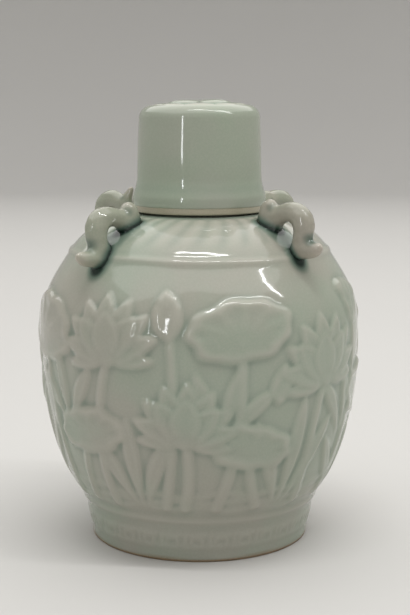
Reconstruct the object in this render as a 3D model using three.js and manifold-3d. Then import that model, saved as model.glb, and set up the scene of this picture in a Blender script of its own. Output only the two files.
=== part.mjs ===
// A celadon lidded jar: a thrown body with a short neck, four coiled loop handles
// luted to the shoulder, a bell lid that drops over the neck, and a cork in the mouth.
// Millimetres, +Z up, origin at the middle of the foot. The handles stand on the axes.
import * as THREE from "three";
import { mergeVertices, toCreasedNormals } from "three/addons/utils/BufferGeometryUtils.js";
import Module from "manifold-3d";

// Clearances between pieces
const SEAT_GAP = 0.3; // between a piece and what carries it
const CORK_CLEARANCE = 0.3; // between the cork and the mouth, measured on the radius
const LID_CLEARANCE = 0.8; // between the lid's inside and the neck's lip, on the radius

// Neck
const BORE_RADIUS = 12;
const NECK_WALL = 3.5;
const NECK_HEIGHT = 20.7; // from the lid's seat to the mouth
const NECK_ROOT = 2.5; // fillet where the neck leaves the shoulder
const LIP_SWELL = 1.1; // how far the lip's bead stands out of the neck
const LIP_HEIGHT = 3.6;
const LIP_SOFTENING = 0.6; // the rounded inner edge of the mouth

// Lid
const LID_WALL = 2.4;
const LID_FLARE = 1.85; // how far the rim stands out of the lid's side
const LID_FLARE_HEIGHT = 7; // from the rim up to the crease where the side starts
const LID_RIM_BAND = 2.6; // the upright band at the rim, its lowest part unglazed
const LID_CORNER = 3.6; // rounding between the side and the top
const LID_TOP_WALL = 3;
const LID_HEADROOM = 7.5; // free height over the cork
const TOP_RING_WIDTH = 1.6; // of the raised edge that frames the rosette
const TOP_RECESS = 0.7; // how deep the ground of the rosette lies under that edge
const ROSETTE_RADIUS = 13;
const ROSETTE_HEIGHT = 2.7; // from that ground to the rosette's middle

// Cork
const CORK_STANDS_OUT = 3;
const CORK_DEPTH = 14; // how far it reaches into the neck
const CORK_TAPER = 0.7; // how much smaller its lower end is, on the radius
const CORK_CHAMFER = 0.6;

// Jar body
const WALL = 4;
const SHOULDER_WIDTH = 20.4; // from the lid's rim out to the shoulder line
const DOME_RISE = 11.35; // from the shoulder line up to the lid's rim
const BELLY_SWELL = 10; // how far the belly stands out of the shoulder line
const SHOULDER_RISE = 25.3; // from the widest level up to the shoulder line
const BELLY_RISE = 55.8; // from the foot line up to the widest level
const FOOT_RADIUS = 36;
const FOOT_LINE_RADIUS = 38.7;
const FOOT_BAND_HEIGHT = 14.2; // from the table up to the foot line
const FOOT_RING_WIDTH = 4.5; // the unglazed ring that the jar stands on
const FOOT_RECESS = 2; // how far the underside lies above the table
const FOOT_CHAMFER = 0.5;
const FLOOR_THICKNESS = 5;
const FLOOR_CORNER = 9; // the rounding inside, where the wall meets the floor
const LINE_HEIGHT = 0.55; // of the two raised lines round the body
const LINE_HALF_WIDTH = 1;

// Fullness of the body's curves: how far each end of a curve keeps its direction
const FOOT_PULL = 16.8;
const LOWER_BELLY_PULL = 22;
const UPPER_BELLY_PULL = 11;
const SHOULDER_PULL = 11.5;
const DOME_PULL = 7.4;
const COLLAR_PULL = 9.6;
const FOOT_SLOPE = THREE.MathUtils.degToRad(55); // of the wall above the foot line
const SHOULDER_SLOPE = THREE.MathUtils.degToRad(57); // of the wall at the shoulder line
const COLLAR_SLOPE = THREE.MathUtils.degToRad(11); // of the shoulder under the lid's rim

// Handles
const COIL_RADIUS = 3.1;
const HANDLE_SPAN = 12.4; // between the two feet, measured along the radius
const HANDLE_HEIGHT = 11.4; // from the line between the feet to the top of the centreline
const HANDLE_OVERHANG = 0.95; // how far the outer foot stands outside the shoulder line
const FOOT_SINK = 0.4; // how deep the coil's feet are pressed down into the shoulder
// The bent coil from its inner curl over the arch to its outer spur. Along is a share of
// the line between the feet, above a share of the height and thick a share of the coil.
const COIL_BENDS = [
  { along: -0.12, above: 0.62, thick: 0.33 },
  { along: -0.21, above: 0.54, thick: 0.62 },
  { along: -0.21, above: 0.32, thick: 0.77 },
  { along: -0.12, above: 0.17, thick: 0.88 },
  { along: -0.02, above: 0.24, thick: 0.82 },
  { along: 0.05, above: 0.52, thick: 0.72 },
  { along: 0.22, above: 0.86, thick: 0.88 },
  { along: 0.45, above: 1.0, thick: 1.0 },
  { along: 0.66, above: 0.88, thick: 1.02 },
  { along: 0.8, above: 0.59, thick: 1.0 },
  { along: 0.91, above: 0.3, thick: 1.0 },
  { along: 1.06, above: 0.36, thick: 0.85 },
];
// The spur at the outer end goes on from there.
const SPUR_BENDS = [
  { along: 1.14, above: 0.57, thick: 0.63 },
  { along: 1.18, above: 0.77, thick: 0.33 },
];
// Each handle was rolled and bent by hand: its bearing from +X in degrees, its girth, how
// high it arches and how far its spur turns up, the last three against the first handle.
const HANDLES = [
  { name: "handle_right", bearing: 0, girth: 1, arch: 1, spur: 1 },
  { name: "handle_rear", bearing: 93, girth: 1.04, arch: 1.02, spur: 0.95 },
  { name: "handle_left", bearing: 182, girth: 1.06, arch: 1.02, spur: 0.9 },
  { name: "handle_front", bearing: 270, girth: 1.12, arch: 0.88, spur: 0.8 },
];

// Relief round the belly: a lotus pond from a mould in two like halves
const RELIEF_RISE = 0.8; // how high its forms stand out of the wall
const RELIEF_ROOT = 0.4; // how deep their edges are rooted in it
const RELIEF_START = -135; // bearing of the first half
const RELIEF_HALVES = 2;
// A form's bearing is in degrees from the start of its half. Up is its place as a share of
// the wall from the foot line to the shoulder line, and size, aside and half are shares too.
const LEAVES = [
  { bearing: 21, up: 0.704, size: 0.208, flat: 0.58, tilt: -7 },
  { bearing: 47, up: 0.358, size: 0.167, flat: 0.52, tilt: 8 },
  { bearing: 108, up: 0.323, size: 0.162, flat: 0.52, tilt: -9 },
  { bearing: 104, up: 0.739, size: 0.191, flat: 0.56, tilt: 7 },
  { bearing: 172, up: 0.45, size: 0.185, flat: 0.58, tilt: -5 },
];
const BLOSSOMS = [
  { bearing: 58, up: 0.623, size: 0.242, tilt: -5 },
  { bearing: 84.5, up: 0.34, size: 0.231, tilt: 5 },
  { bearing: 138, up: 0.531, size: 0.254, tilt: -6 },
];
const BUDS = [
  { bearing: 80, up: 0.704, size: 0.179, tilt: -6 },
  { bearing: 1.5, up: 0.496, size: 0.167, tilt: 8 },
  { bearing: 117, up: 0.473, size: 0.144, tilt: 12 },
];
const PODS = [{ bearing: 158, up: 0.716, size: 0.127, tilt: 9 }];
// Each stem leans aside on its way up and bows in its middle.
const STEMS = [
  { bearing: 27, up: 0.069, size: 0.54, aside: -0.046, bow: 0.046 },
  { bearing: 40, up: 0.069, size: 0.225, aside: 0.058, bow: -0.023 },
  { bearing: 52.5, up: 0.069, size: 0.545, aside: 0.058, bow: -0.058 },
  { bearing: 76, up: 0.069, size: 0.64, aside: 0.04, bow: 0.058 },
  { bearing: 97, up: 0.069, size: 0.58, aside: 0.069, bow: 0.058 },
  { bearing: 114, up: 0.069, size: 0.19, aside: -0.05, bow: -0.02 },
  { bearing: 134, up: 0.069, size: 0.45, aside: 0.04, bow: -0.046 },
  { bearing: 151, up: 0.069, size: 0.66, aside: 0.069, bow: 0.058 },
  { bearing: 175, up: 0.069, size: 0.3, aside: -0.035, bow: 0.035 },
  { bearing: -1, up: 0.069, size: 0.43, aside: 0.035, bow: 0.023 },
  { bearing: 84, up: 0.069, size: 0.26, aside: 0.012, bow: 0.029 },
];
// The tallest reed of each tuft, with its lean and how far its tip is swept aside.
const REEDS = [
  { bearing: 9, up: 0.069, size: 0.404, lean: 2, sweep: 0.04 },
  { bearing: 66, up: 0.069, size: 0.358, lean: -2, sweep: -0.03 },
  { bearing: 124, up: 0.069, size: 0.427, lean: 4, sweep: 0.05 },
  { bearing: 157, up: 0.069, size: 0.312, lean: 0, sweep: 0 },
];
const STEM_HALF = 0.026; // half a stem's width
const REED_HALF = 0.036; // half a reed's width in its middle
// An opened blossom's petals from left to right: the lean of each and its length as a share
// of the middle one.
const PETALS = [
  { lean: -82, reach: 0.74 },
  { lean: -62, reach: 0.86 },
  { lean: -42, reach: 0.93 },
  { lean: -21, reach: 0.97 },
  { lean: 0, reach: 1 },
  { lean: 21, reach: 0.97 },
  { lean: 42, reach: 0.93 },
  { lean: 62, reach: 0.86 },
  { lean: 82, reach: 0.74 },
];
const NOTCH_REACH = 0.7; // length of the notches between the petals
const PETAL_SWEEP = 0.0022; // how far a petal's tip is swept aside for each degree of its lean
// Outlines on a length of 1, from the foot up the right side and down the left: a bud's and
// a seed pod's.
const BUD_OUTLINE = [
  { aside: 0, above: -0.02 },
  { aside: 0.22, above: 0.22 },
  { aside: 0.29, above: 0.46 },
  { aside: 0.17, above: 0.8 },
  { aside: 0, above: 1.02 },
  { aside: -0.17, above: 0.8 },
  { aside: -0.29, above: 0.46 },
  { aside: -0.22, above: 0.22 },
];
const POD_OUTLINE = [
  { aside: 0.2, above: 0 },
  { aside: 0.52, above: 0.5 },
  { aside: 0.8, above: 1 },
  { aside: 0.5, above: 1.26 },
  { aside: 0, above: 1.34 },
  { aside: -0.5, above: 1.26 },
  { aside: -0.8, above: 1 },
  { aside: -0.52, above: 0.5 },
  { aside: -0.2, above: 0 },
];
const EDGE_SHARE = 0.86; // where a form's sloping edge reaches its height, from its middle
const DISH_SHARE = 0.5; // where the hollow of a leaf or a blossom lies
const DISH_DEPTH = 0.15;

// Fineness of the round surfaces
const BODY_SIDES = 48;
const LEAF_POINTS = 12;
const STEM_STEPS = 4;
const REED_STEPS = 3;
const RELIEF_STEPS = 40; // for measuring along the wall
const LID_SIDES = 48;
const CORK_SIDES = 32;
const COIL_SIDES = 12;
const COIL_STEPS = 26;
const WALL_STEPS = 5; // on each of the wall's curves
const ARC_STEPS = 3; // on each small rounding
const WELD = 1e-3; // vertices this close are one vertex
const CREASE_ANGLE = THREE.MathUtils.degToRad(35); // faces that meet at less are shaded as one

// Sizes that follow from those above
const neckRadius = BORE_RADIUS + NECK_WALL;
const lipRadius = neckRadius + LIP_SWELL;
const lidBore = lipRadius + LID_CLEARANCE;
const lidRadius = lidBore + LID_WALL;
const rimRadius = lidRadius + LID_FLARE;
const rimBore = rimRadius - LID_WALL;
const shoulderRadius = rimRadius + SHOULDER_WIDTH;
const bellyRadius = shoulderRadius + BELLY_SWELL;
const bellyZ = FOOT_BAND_HEIGHT + BELLY_RISE;
const shoulderZ = bellyZ + SHOULDER_RISE;
const collarZ = shoulderZ + DOME_RISE;
const neckRootZ = collarZ + (rimRadius - neckRadius - NECK_ROOT) * Math.tan(COLLAR_SLOPE);
const lidZ = collarZ + (rimRadius - rimBore) * Math.tan(COLLAR_SLOPE) + SEAT_GAP;
const mouthZ = lidZ + NECK_HEIGHT;
const corkTopZ = mouthZ + CORK_STANDS_OUT;
const ceilingZ = corkTopZ + LID_HEADROOM;
const lidTopZ = ceilingZ + LID_TOP_WALL;
const floorZ = FOOT_RECESS + FLOOR_THICKNESS;

const at = (radius, z) => new THREE.Vector2(radius, z); // a point of a profile
const wasm = await Module();
wasm.setup();

// A closed three.js geometry as a solid that can be cut.
function toSolid(geometry) {
  const bare = geometry.index ? geometry.toNonIndexed() : geometry.clone();
  bare.deleteAttribute("normal");
  bare.deleteAttribute("uv");
  const merged = mergeVertices(bare, WELD);
  return new wasm.Manifold(
    new wasm.Mesh({
      numProp: 3,
      vertProperties: new Float32Array(merged.attributes.position.array),
      triVerts: new Uint32Array(merged.index.array),
    }),
  );
}

// A cut or joined solid back as a three.js geometry, shaded smooth but for its creases.
function toGeometry(solid) {
  const mesh = solid.getMesh();
  const geometry = new THREE.BufferGeometry();
  geometry.setAttribute("position", new THREE.BufferAttribute(mesh.vertProperties, 3));
  geometry.setIndex(new THREE.BufferAttribute(mesh.triVerts, 1));
  return toCreasedNormals(geometry, CREASE_ANGLE);
}

// A profile of radius and height turned round the jar's axis.
function turned(profile, sides) {
  return new THREE.LatheGeometry(profile, sides).rotateX(Math.PI / 2);
}

// A closed surface from its points and its triangles.
function surface(points, triangles) {
  const geometry = new THREE.BufferGeometry().setFromPoints(points);
  return geometry.setIndex(triangles.flat());
}

// The same line of points, moved sideways: outwards for a positive distance.
function offsetLine(points, distance) {
  return points.map((point, i) => {
    const before = points[Math.max(i - 1, 0)];
    const after = points[Math.min(i + 1, points.length - 1)];
    const along = after.clone().sub(before).normalize();
    return at(point.x + along.y * distance, point.y - along.x * distance);
  });
}

// The three curves of the wall, from the foot line to the lid's rim.
function wallCurves() {
  const footLine = at(FOOT_LINE_RADIUS, FOOT_BAND_HEIGHT);
  const belly = at(bellyRadius, bellyZ);
  const shoulder = at(shoulderRadius, shoulderZ);
  const collar = at(rimRadius, collarZ);
  const leaveFoot = at(Math.cos(FOOT_SLOPE), Math.sin(FOOT_SLOPE)).multiplyScalar(FOOT_PULL);
  const inwards = at(-Math.cos(SHOULDER_SLOPE), Math.sin(SHOULDER_SLOPE));
  const reachCollar = at(Math.cos(COLLAR_SLOPE), -Math.sin(COLLAR_SLOPE));
  return {
    lower: new THREE.CubicBezierCurve(
      footLine,
      footLine.clone().add(leaveFoot),
      at(bellyRadius, bellyZ - LOWER_BELLY_PULL),
      belly,
    ),
    upper: new THREE.CubicBezierCurve(
      belly,
      at(bellyRadius, bellyZ + UPPER_BELLY_PULL),
      shoulder.clone().addScaledVector(inwards, -SHOULDER_PULL),
      shoulder,
    ),
    dome: new THREE.CubicBezierCurve(
      shoulder,
      shoulder.clone().addScaledVector(inwards, DOME_PULL),
      collar.clone().addScaledVector(reachCollar, COLLAR_PULL),
      collar,
    ),
  };
}

// The wall as points without its raised lines, from the foot line to the lid's rim.
function wallLine() {
  const { lower, upper, dome } = wallCurves();
  return [
    ...lower.getPoints(WALL_STEPS),
    ...upper.getPoints(WALL_STEPS).slice(1),
    ...dome.getPoints(WALL_STEPS).slice(1),
  ];
}

// Height of the shoulder's surface at a radius between the belly and the lid's rim.
function shoulderHeight(radius) {
  const line = wallLine();
  for (let i = line.length - 1; i > 0; i -= 1) {
    const inner = line[i];
    const outer = line[i - 1];
    if (radius <= outer.x) {
      const share = (radius - inner.x) / (outer.x - inner.x);
      return THREE.MathUtils.lerp(inner.y, outer.y, share);
    }
  }
  return bellyZ;
}

// Five points that replace one point of a line by a half-round raised line.
function raisedLine(before, crest, after) {
  const steps = [-1, -0.5, 0, 0.5, 1];
  const up = after.clone().sub(before).normalize();
  return steps.map((step) => {
    const rise = LINE_HEIGHT * (1 - step * step);
    const slide = step * LINE_HALF_WIDTH;
    return at(crest.x + up.x * slide + up.y * rise, crest.y + up.y * slide - up.x * rise);
  });
}

// The body's outer wall with both raised lines.
function decoratedWall() {
  const { lower, upper, dome } = wallCurves();
  const low = lower.getPoints(WALL_STEPS);
  const high = upper.getPoints(WALL_STEPS);
  const top = dome.getPoints(WALL_STEPS);
  const band = footBand();
  const footRidge = raisedLine(band.at(-1), low[0], low[1]);
  const shoulderRidge = raisedLine(high.at(-2), top[0], top[1]);
  return [
    ...band,
    ...footRidge,
    ...low.slice(1),
    ...high.slice(1, -1),
    ...shoulderRidge,
    ...top.slice(1),
  ];
}

// The flaring band between the table and the foot line, without its last point.
function footBand() {
  const flare = new THREE.QuadraticBezierCurve(
    at(FOOT_RADIUS, FOOT_CHAMFER),
    at(FOOT_RADIUS + FOOT_CHAMFER, FOOT_BAND_HEIGHT / 2),
    at(FOOT_LINE_RADIUS, FOOT_BAND_HEIGHT),
  );
  return flare.getPoints(ARC_STEPS).slice(0, -1);
}

// The lip: a bead round the mouth with a softened inner edge, from the outside in.
function lip() {
  const bead = new THREE.Path();
  bead.moveTo(neckRadius, mouthZ - LIP_HEIGHT);
  bead.quadraticCurveTo(lipRadius, mouthZ - LIP_HEIGHT, lipRadius, mouthZ - LIP_HEIGHT / 2);
  bead.quadraticCurveTo(lipRadius, mouthZ, neckRadius, mouthZ);
  return [
    ...bead.getPoints(ARC_STEPS),
    at(BORE_RADIUS + LIP_SOFTENING, mouthZ),
    at(BORE_RADIUS, mouthZ - LIP_SOFTENING),
  ];
}

// The jar's whole outline, from the middle of its underside round to its floor.
function bodyOutline() {
  const ringBore = FOOT_RADIUS - FOOT_RING_WIDTH;
  const underside = [
    at(0, FOOT_RECESS),
    at(ringBore - FOOT_CHAMFER, FOOT_RECESS),
    at(ringBore, 0),
    at(FOOT_RADIUS - FOOT_CHAMFER, 0),
  ];
  const root = new THREE.Path();
  root.moveTo(neckRadius + NECK_ROOT, neckRootZ);
  root.quadraticCurveTo(neckRadius, neckRootZ, neckRadius, neckRootZ + NECK_ROOT);
  const inside = offsetLine(wallLine(), -WALL).reverse();
  const collar = inside[0];
  const throat = new THREE.QuadraticBezierCurve(
    at(BORE_RADIUS, collar.y + WALL / 2),
    at(BORE_RADIUS + WALL / 2, collar.y + WALL / 4),
    collar,
  );
  const wallInside = inside.slice(1).filter((point) => point.y > floorZ + FLOOR_CORNER);
  const foot = wallInside.at(-1);
  const corner = new THREE.QuadraticBezierCurve(
    foot,
    at(foot.x - FLOOR_CORNER / 2, floorZ),
    at(foot.x - FLOOR_CORNER * 1.5, floorZ),
  );
  return [
    ...underside,
    ...decoratedWall(),
    ...root.getPoints(ARC_STEPS),
    ...lip(),
    ...throat.getPoints(ARC_STEPS),
    ...wallInside,
    ...corner.getPoints(ARC_STEPS).slice(1),
    at(0, floorZ),
  ];
}

// The belly's wall from the foot line to the shoulder line, with its length up to each point.
function reliefWall() {
  const { lower, upper } = wallCurves();
  const points = [...lower.getPoints(RELIEF_STEPS), ...upper.getPoints(RELIEF_STEPS).slice(1)];
  const runs = [0];
  for (let i = 1; i < points.length; i += 1) {
    runs.push(runs[i - 1] + points[i].distanceTo(points[i - 1]));
  }
  return { points, runs, length: runs.at(-1) };
}

const relief = reliefWall();

// A point of a form on the belly: across and up are shares of the wall's length from the
// form's place, and the height stands out of the wall.
function onBelly({ bearing, up }, point) {
  const { points, runs, length } = relief;
  const run = THREE.MathUtils.clamp((up + point.y) * length, 0, length);
  const above = Math.max(1, runs.findIndex((value) => value >= run));
  const share = (run - runs[above - 1]) / (runs[above] - runs[above - 1]);
  const along = points[above].clone().sub(points[above - 1]);
  const place = points[above - 1].clone().addScaledVector(along, share);
  const turn = THREE.MathUtils.degToRad(bearing) + (point.x * length) / place.x;
  along.normalize();
  place.add(at(along.y, -along.x).multiplyScalar(point.z));
  return new THREE.Vector3(place.x * Math.cos(turn), place.x * Math.sin(turn), place.y);
}

const reliefPoint = (across, up, height) => new THREE.Vector3(across, up, height);

// Points of a form turned to the right about its place.
function leaning(points, degrees) {
  const turn = THREE.MathUtils.degToRad(-degrees);
  const outwards = new THREE.Vector3(0, 0, 1);
  return points.map((point) => point.clone().applyAxisAngle(outwards, turn));
}

// A form on the belly from its rooted outline through the rings inside it to its middle.
function pad(place, rings, middle) {
  const count = rings[0].length;
  const foot = middle.clone().setZ(-RELIEF_ROOT * 2);
  const flat = leaning([...rings.flat(), middle, foot], place.tilt);
  const triangles = [];
  for (let i = 0; i < count; i += 1) {
    const next = (i + 1) % count;
    for (let ring = 1; ring < rings.length; ring += 1) {
      const [outer, inner] = [(ring - 1) * count, ring * count];
      triangles.push([outer + i, outer + next, inner + next]);
      triangles.push([outer + i, inner + next, inner + i]);
    }
    const last = (rings.length - 1) * count;
    triangles.push([last + i, last + next, flat.length - 2]);
    triangles.push([next, i, flat.length - 1]);
  }
  return surface(flat.map((point) => onBelly(place, point)), triangles);
}

// A keeled strip on the belly along a line, with half its width at each of its points.
function strip(place, line, halves) {
  const points = line.flatMap((point, i) => {
    const before = line[Math.max(i - 1, 0)];
    const after = line[Math.min(i + 1, line.length - 1)];
    const along = after.clone().sub(before).normalize();
    const aside = reliefPoint(along.y, -along.x, 0).multiplyScalar(halves[i]);
    const left = point.clone().sub(aside).setZ(-RELIEF_ROOT);
    const right = point.clone().add(aside).setZ(-RELIEF_ROOT);
    return [left, point.clone().setZ(RELIEF_RISE), right];
  });
  const triangles = [];
  for (let i = 0; i + 1 < line.length; i += 1) {
    const [left, crest, right, left2, crest2, right2] = [0, 1, 2, 3, 4, 5].map((k) => i * 3 + k);
    triangles.push([left, crest, crest2], [left, crest2, left2]);
    triangles.push([crest, right, right2], [crest, right2, crest2]);
    triangles.push([right, left, left2], [right, left2, right2]);
  }
  const end = points.length - 3;
  triangles.push([0, 2, 1], [end + 2, end, end + 1]);
  return surface(points.map((point) => onBelly(place, point)), triangles);
}

function leaf({ bearing, up, size, flat, tilt }) {
  const ring = (share, height) => {
    const points = [];
    for (let i = 0; i < LEAF_POINTS; i += 1) {
      const angle = (i / LEAF_POINTS) * Math.PI * 2;
      const across = size * share * Math.cos(angle);
      points.push(reliefPoint(across, size * flat * share * Math.sin(angle), height));
    }
    return points;
  };
  const rings = [ring(1, -RELIEF_ROOT), ring(EDGE_SHARE, RELIEF_RISE)];
  rings.push(ring(DISH_SHARE, RELIEF_RISE - DISH_DEPTH));
  return pad({ bearing, up, tilt: -tilt }, rings, reliefPoint(0, 0, RELIEF_RISE));
}

// An opened blossom from the side: a fan of petals over its foot.
function blossom({ bearing, up, size, tilt }) {
  const tips = PETALS.toReversed().map(({ lean, reach }) => {
    const tip = reliefPoint(PETAL_SWEEP * lean, 1, 0).multiplyScalar(size * reach);
    return leaning([tip], lean)[0];
  });
  const outline = tips.flatMap((tip, i) => {
    if (i === 0) return [tip];
    const lean = (PETALS.at(-i).lean + PETALS.at(-i - 1).lean) / 2;
    return [...leaning([reliefPoint(0, size * NOTCH_REACH, 0)], lean), tip];
  });
  const foot = reliefPoint(0, -size * (1 - EDGE_SHARE), 0);
  const middle = reliefPoint(0, (size * (1 - DISH_SHARE)) / 2, RELIEF_RISE);
  const ring = (share, ridge, furrow) => [...outline, foot].map((point, i) => {
    return point.clone().lerp(middle, 1 - share).setZ(i % 2 ? furrow : ridge);
  });
  const rings = [
    ring(1, -RELIEF_ROOT, -RELIEF_ROOT),
    ring(EDGE_SHARE, RELIEF_RISE, RELIEF_RISE / 2),
    ring(DISH_SHARE, RELIEF_RISE, RELIEF_RISE - DISH_DEPTH),
  ];
  return pad({ bearing, up, tilt }, rings, middle);
}

// A bud or a seed pod from its outline.
function rounded({ bearing, up, size, tilt }, outline) {
  const heart = outline.reduce((sum, { above }) => sum + above / outline.length, 0) * size;
  const middle = reliefPoint(0, heart, RELIEF_RISE + DISH_DEPTH);
  const edge = outline.map(({ aside, above }) => reliefPoint(aside * size, above * size, 0));
  const ring = (share, height) => {
    return edge.map((point) => point.clone().lerp(middle, 1 - share).setZ(height));
  };
  const rings = [ring(1, -RELIEF_ROOT), ring(EDGE_SHARE - DISH_DEPTH, RELIEF_RISE)];
  return pad({ bearing, up, tilt }, rings, middle);
}

function stem({ bearing, up, size, aside, bow }) {
  const bend = new THREE.QuadraticBezierCurve(
    at(0, 0),
    at(aside / 2 + bow, size / 2),
    at(aside, size),
  );
  const line = bend.getPoints(STEM_STEPS).map((point) => reliefPoint(point.x, point.y, 0));
  return strip({ bearing, up }, line, line.map(() => STEM_HALF));
}

// A reed, wide in its middle and pointed.
function reed({ bearing, up, size, lean, sweep }) {
  const line = [];
  const halves = [];
  for (let i = 0; i <= REED_STEPS; i += 1) {
    const share = i / REED_STEPS;
    line.push(reliefPoint(sweep * size * share ** 2, size * share, 0));
    halves.push(REED_HALF * (1 - EDGE_SHARE * (2 * share - 1) ** 2));
  }
  return strip({ bearing, up }, leaning(line, lean), halves);
}

// The whole pond, as forms to be joined to the body.
function pond() {
  const forms = [];
  for (let half = 0; half < RELIEF_HALVES; half += 1) {
    const shift = RELIEF_START + (360 / RELIEF_HALVES) * half;
    const moved = (form) => ({ ...form, bearing: form.bearing + shift });
    forms.push(...STEMS.map((form) => stem(moved(form))));
    forms.push(...REEDS.map((form) => reed(moved(form))));
    forms.push(...LEAVES.map((form) => leaf(moved(form))));
    forms.push(...BLOSSOMS.map((form) => blossom(moved(form))));
    forms.push(...BUDS.map((form) => rounded(moved(form), BUD_OUTLINE)));
    forms.push(...PODS.map((form) => rounded(moved(form), POD_OUTLINE)));
  }
  return forms;
}

// The lid's outline, from the middle of its ceiling down inside and up outside.
function lidOutline() {
  const creaseZ = lidZ + LID_FLARE_HEIGHT;
  const inner = new THREE.Path();
  inner.moveTo(lidBore - LID_CORNER / 2, ceilingZ);
  inner.quadraticCurveTo(lidBore, ceilingZ, lidBore, ceilingZ - LID_CORNER / 2);
  const flareInside = [at(lidBore, creaseZ + LID_RIM_BAND), at(rimBore, lidZ + LID_RIM_BAND)];
  const side = new THREE.Path();
  side.moveTo(rimRadius, lidZ + LID_RIM_BAND);
  side.lineTo(rimRadius - LID_FLARE / 3, creaseZ);
  side.quadraticCurveTo(lidRadius, creaseZ + LID_RIM_BAND, lidRadius, (creaseZ + lidTopZ) / 2);
  side.lineTo(lidRadius, lidTopZ - LID_CORNER);
  const corner = new THREE.Path();
  corner.absarc(lidRadius - LID_CORNER, lidTopZ - LID_CORNER, LID_CORNER, 0, Math.PI / 2);
  const groundZ = lidTopZ - TOP_RECESS;
  const crest = lidRadius - LID_CORNER;
  const raisedEdge = [
    at(crest - TOP_RING_WIDTH / 2, lidTopZ),
    at(crest - TOP_RING_WIDTH, groundZ),
  ];
  const rosette = new THREE.QuadraticBezierCurve(
    at(ROSETTE_RADIUS, groundZ),
    at(ROSETTE_RADIUS / 2, groundZ + ROSETTE_HEIGHT),
    at(0, groundZ + ROSETTE_HEIGHT),
  );
  return [
    at(0, ceilingZ),
    ...inner.getPoints(ARC_STEPS),
    ...flareInside,
    at(rimBore, lidZ),
    at(rimRadius, lidZ),
    ...side.getPoints(ARC_STEPS),
    ...corner.getPoints(ARC_STEPS + 1).slice(1),
    ...raisedEdge,
    ...rosette.getPoints(ARC_STEPS),
  ];
}

// The cork's outline, wider at the top, from its lower end up.
function corkOutline() {
  const topRadius = BORE_RADIUS - CORK_CLEARANCE;
  const lowRadius = topRadius - CORK_TAPER;
  const lowZ = mouthZ - CORK_DEPTH;
  return [
    at(0, lowZ),
    at(lowRadius - CORK_CHAMFER, lowZ),
    at(lowRadius, lowZ + CORK_CHAMFER),
    at(topRadius, mouthZ),
    at(topRadius, corkTopZ - CORK_CHAMFER),
    at(topRadius - CORK_CHAMFER, corkTopZ),
    at(0, corkTopZ),
  ];
}

// A handle's centreline in the plane of radius and height, and its thickness.
function coilLines({ girth, arch, spur }) {
  const outerRadius = shoulderRadius + HANDLE_OVERHANG;
  const innerRadius = outerRadius - HANDLE_SPAN;
  const inner = at(innerRadius, shoulderHeight(innerRadius));
  const outer = at(outerRadius, shoulderHeight(outerRadius));
  const between = outer.clone().sub(inner);
  const outwards = at(-between.y, between.x).normalize();
  const turnedUp = SPUR_BENDS.map((bend) => ({ ...bend, above: bend.above * spur }));
  const bends = [...COIL_BENDS, ...turnedUp];
  const places = bends.map(({ along, above }) => {
    const place = inner.clone().addScaledVector(between, along);
    place.addScaledVector(outwards, above * arch * HANDLE_HEIGHT - FOOT_SINK);
    return new THREE.Vector3(place.x, 0, place.y);
  });
  const radii = bends.map(({ thick }, i) => {
    return at(i / (bends.length - 1), thick * girth * COIL_RADIUS);
  });
  return {
    centre: new THREE.CatmullRomCurve3(places),
    thickness: new THREE.SplineCurve(radii),
  };
}

// A tapered straight roll of clay with blunt tips, bent along a handle's centreline.
function coil(handle) {
  const { centre, thickness } = coilLines(handle);
  const roll = [at(0, 0)];
  for (let i = 0; i <= COIL_STEPS; i += 1) {
    roll.push(at(thickness.getPoint(i / COIL_STEPS).y, i / COIL_STEPS));
  }
  roll.push(at(0, 1));
  const geometry = new THREE.LatheGeometry(roll, COIL_SIDES);
  const position = geometry.getAttribute("position");
  const across = new THREE.Vector3(0, 1, 0);
  const straight = new THREE.Vector3();
  for (let i = 0; i < position.count; i += 1) {
    straight.fromBufferAttribute(position, i);
    const along = centre.getTangent(straight.y);
    const aside = new THREE.Vector3().crossVectors(along, across);
    const bent = centre.getPoint(straight.y);
    bent.addScaledVector(aside, straight.x).addScaledVector(across, straight.z);
    position.setXYZ(i, bent.x, bent.y, bent.z);
  }
  return geometry;
}

// The shoulder grown by the seat gap, as a filled solid that trims the handles' feet.
function shoulderCutter() {
  const line = offsetLine(decoratedWall(), SEAT_GAP).filter((point) => point.y > bellyZ);
  const start = at(0, line[0].y);
  const end = at(0, line.at(-1).y);
  return toSolid(turned([start, ...line, end], BODY_SIDES));
}

const celadon = new THREE.MeshStandardMaterial({ color: 0x9db3a0, roughness: 0.12 });
const handleGlaze = new THREE.MeshStandardMaterial({ color: 0xa9ada0, roughness: 0.14 });
const corkBark = new THREE.MeshStandardMaterial({ color: 0xb08a5c, roughness: 0.9 });

const jar = new THREE.Group();

function addPiece(name, geometry, material) {
  const piece = new THREE.Mesh(geometry, material);
  piece.name = name;
  jar.add(piece);
}

const thrown = toSolid(turned(bodyOutline(), BODY_SIDES));
const moulded = pond().reduce((body, form) => body.add(toSolid(form)), thrown);
addPiece("jar_body", toGeometry(moulded), celadon);

const cutter = shoulderCutter();
for (const handle of HANDLES) {
  const turn = THREE.MathUtils.degToRad(handle.bearing);
  const roll = toSolid(coil(handle).rotateZ(turn));
  addPiece(handle.name, toGeometry(roll.subtract(cutter)), handleGlaze);
}

addPiece("lid", turned(lidOutline(), LID_SIDES), celadon);
addPiece("cork", turned(corkOutline(), CORK_SIDES), corkBark);

export default jar;
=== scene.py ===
"""A celadon lidded jar, thrown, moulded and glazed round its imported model.

The jar's body, its four coiled handles, the bell lid and the cork are modelled in finer clay
than the plain solids. Sizes are in millimetres and become metres when a mesh is made.
Bearings are in degrees from +X, counter-clockwise seen from above.
"""

from __future__ import annotations

import logging
import math
from collections.abc import Callable, Sequence
from dataclasses import dataclass, field, replace
from enum import Enum

import bmesh
import bpy
import numpy as np
from mathutils import Matrix, Vector


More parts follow.
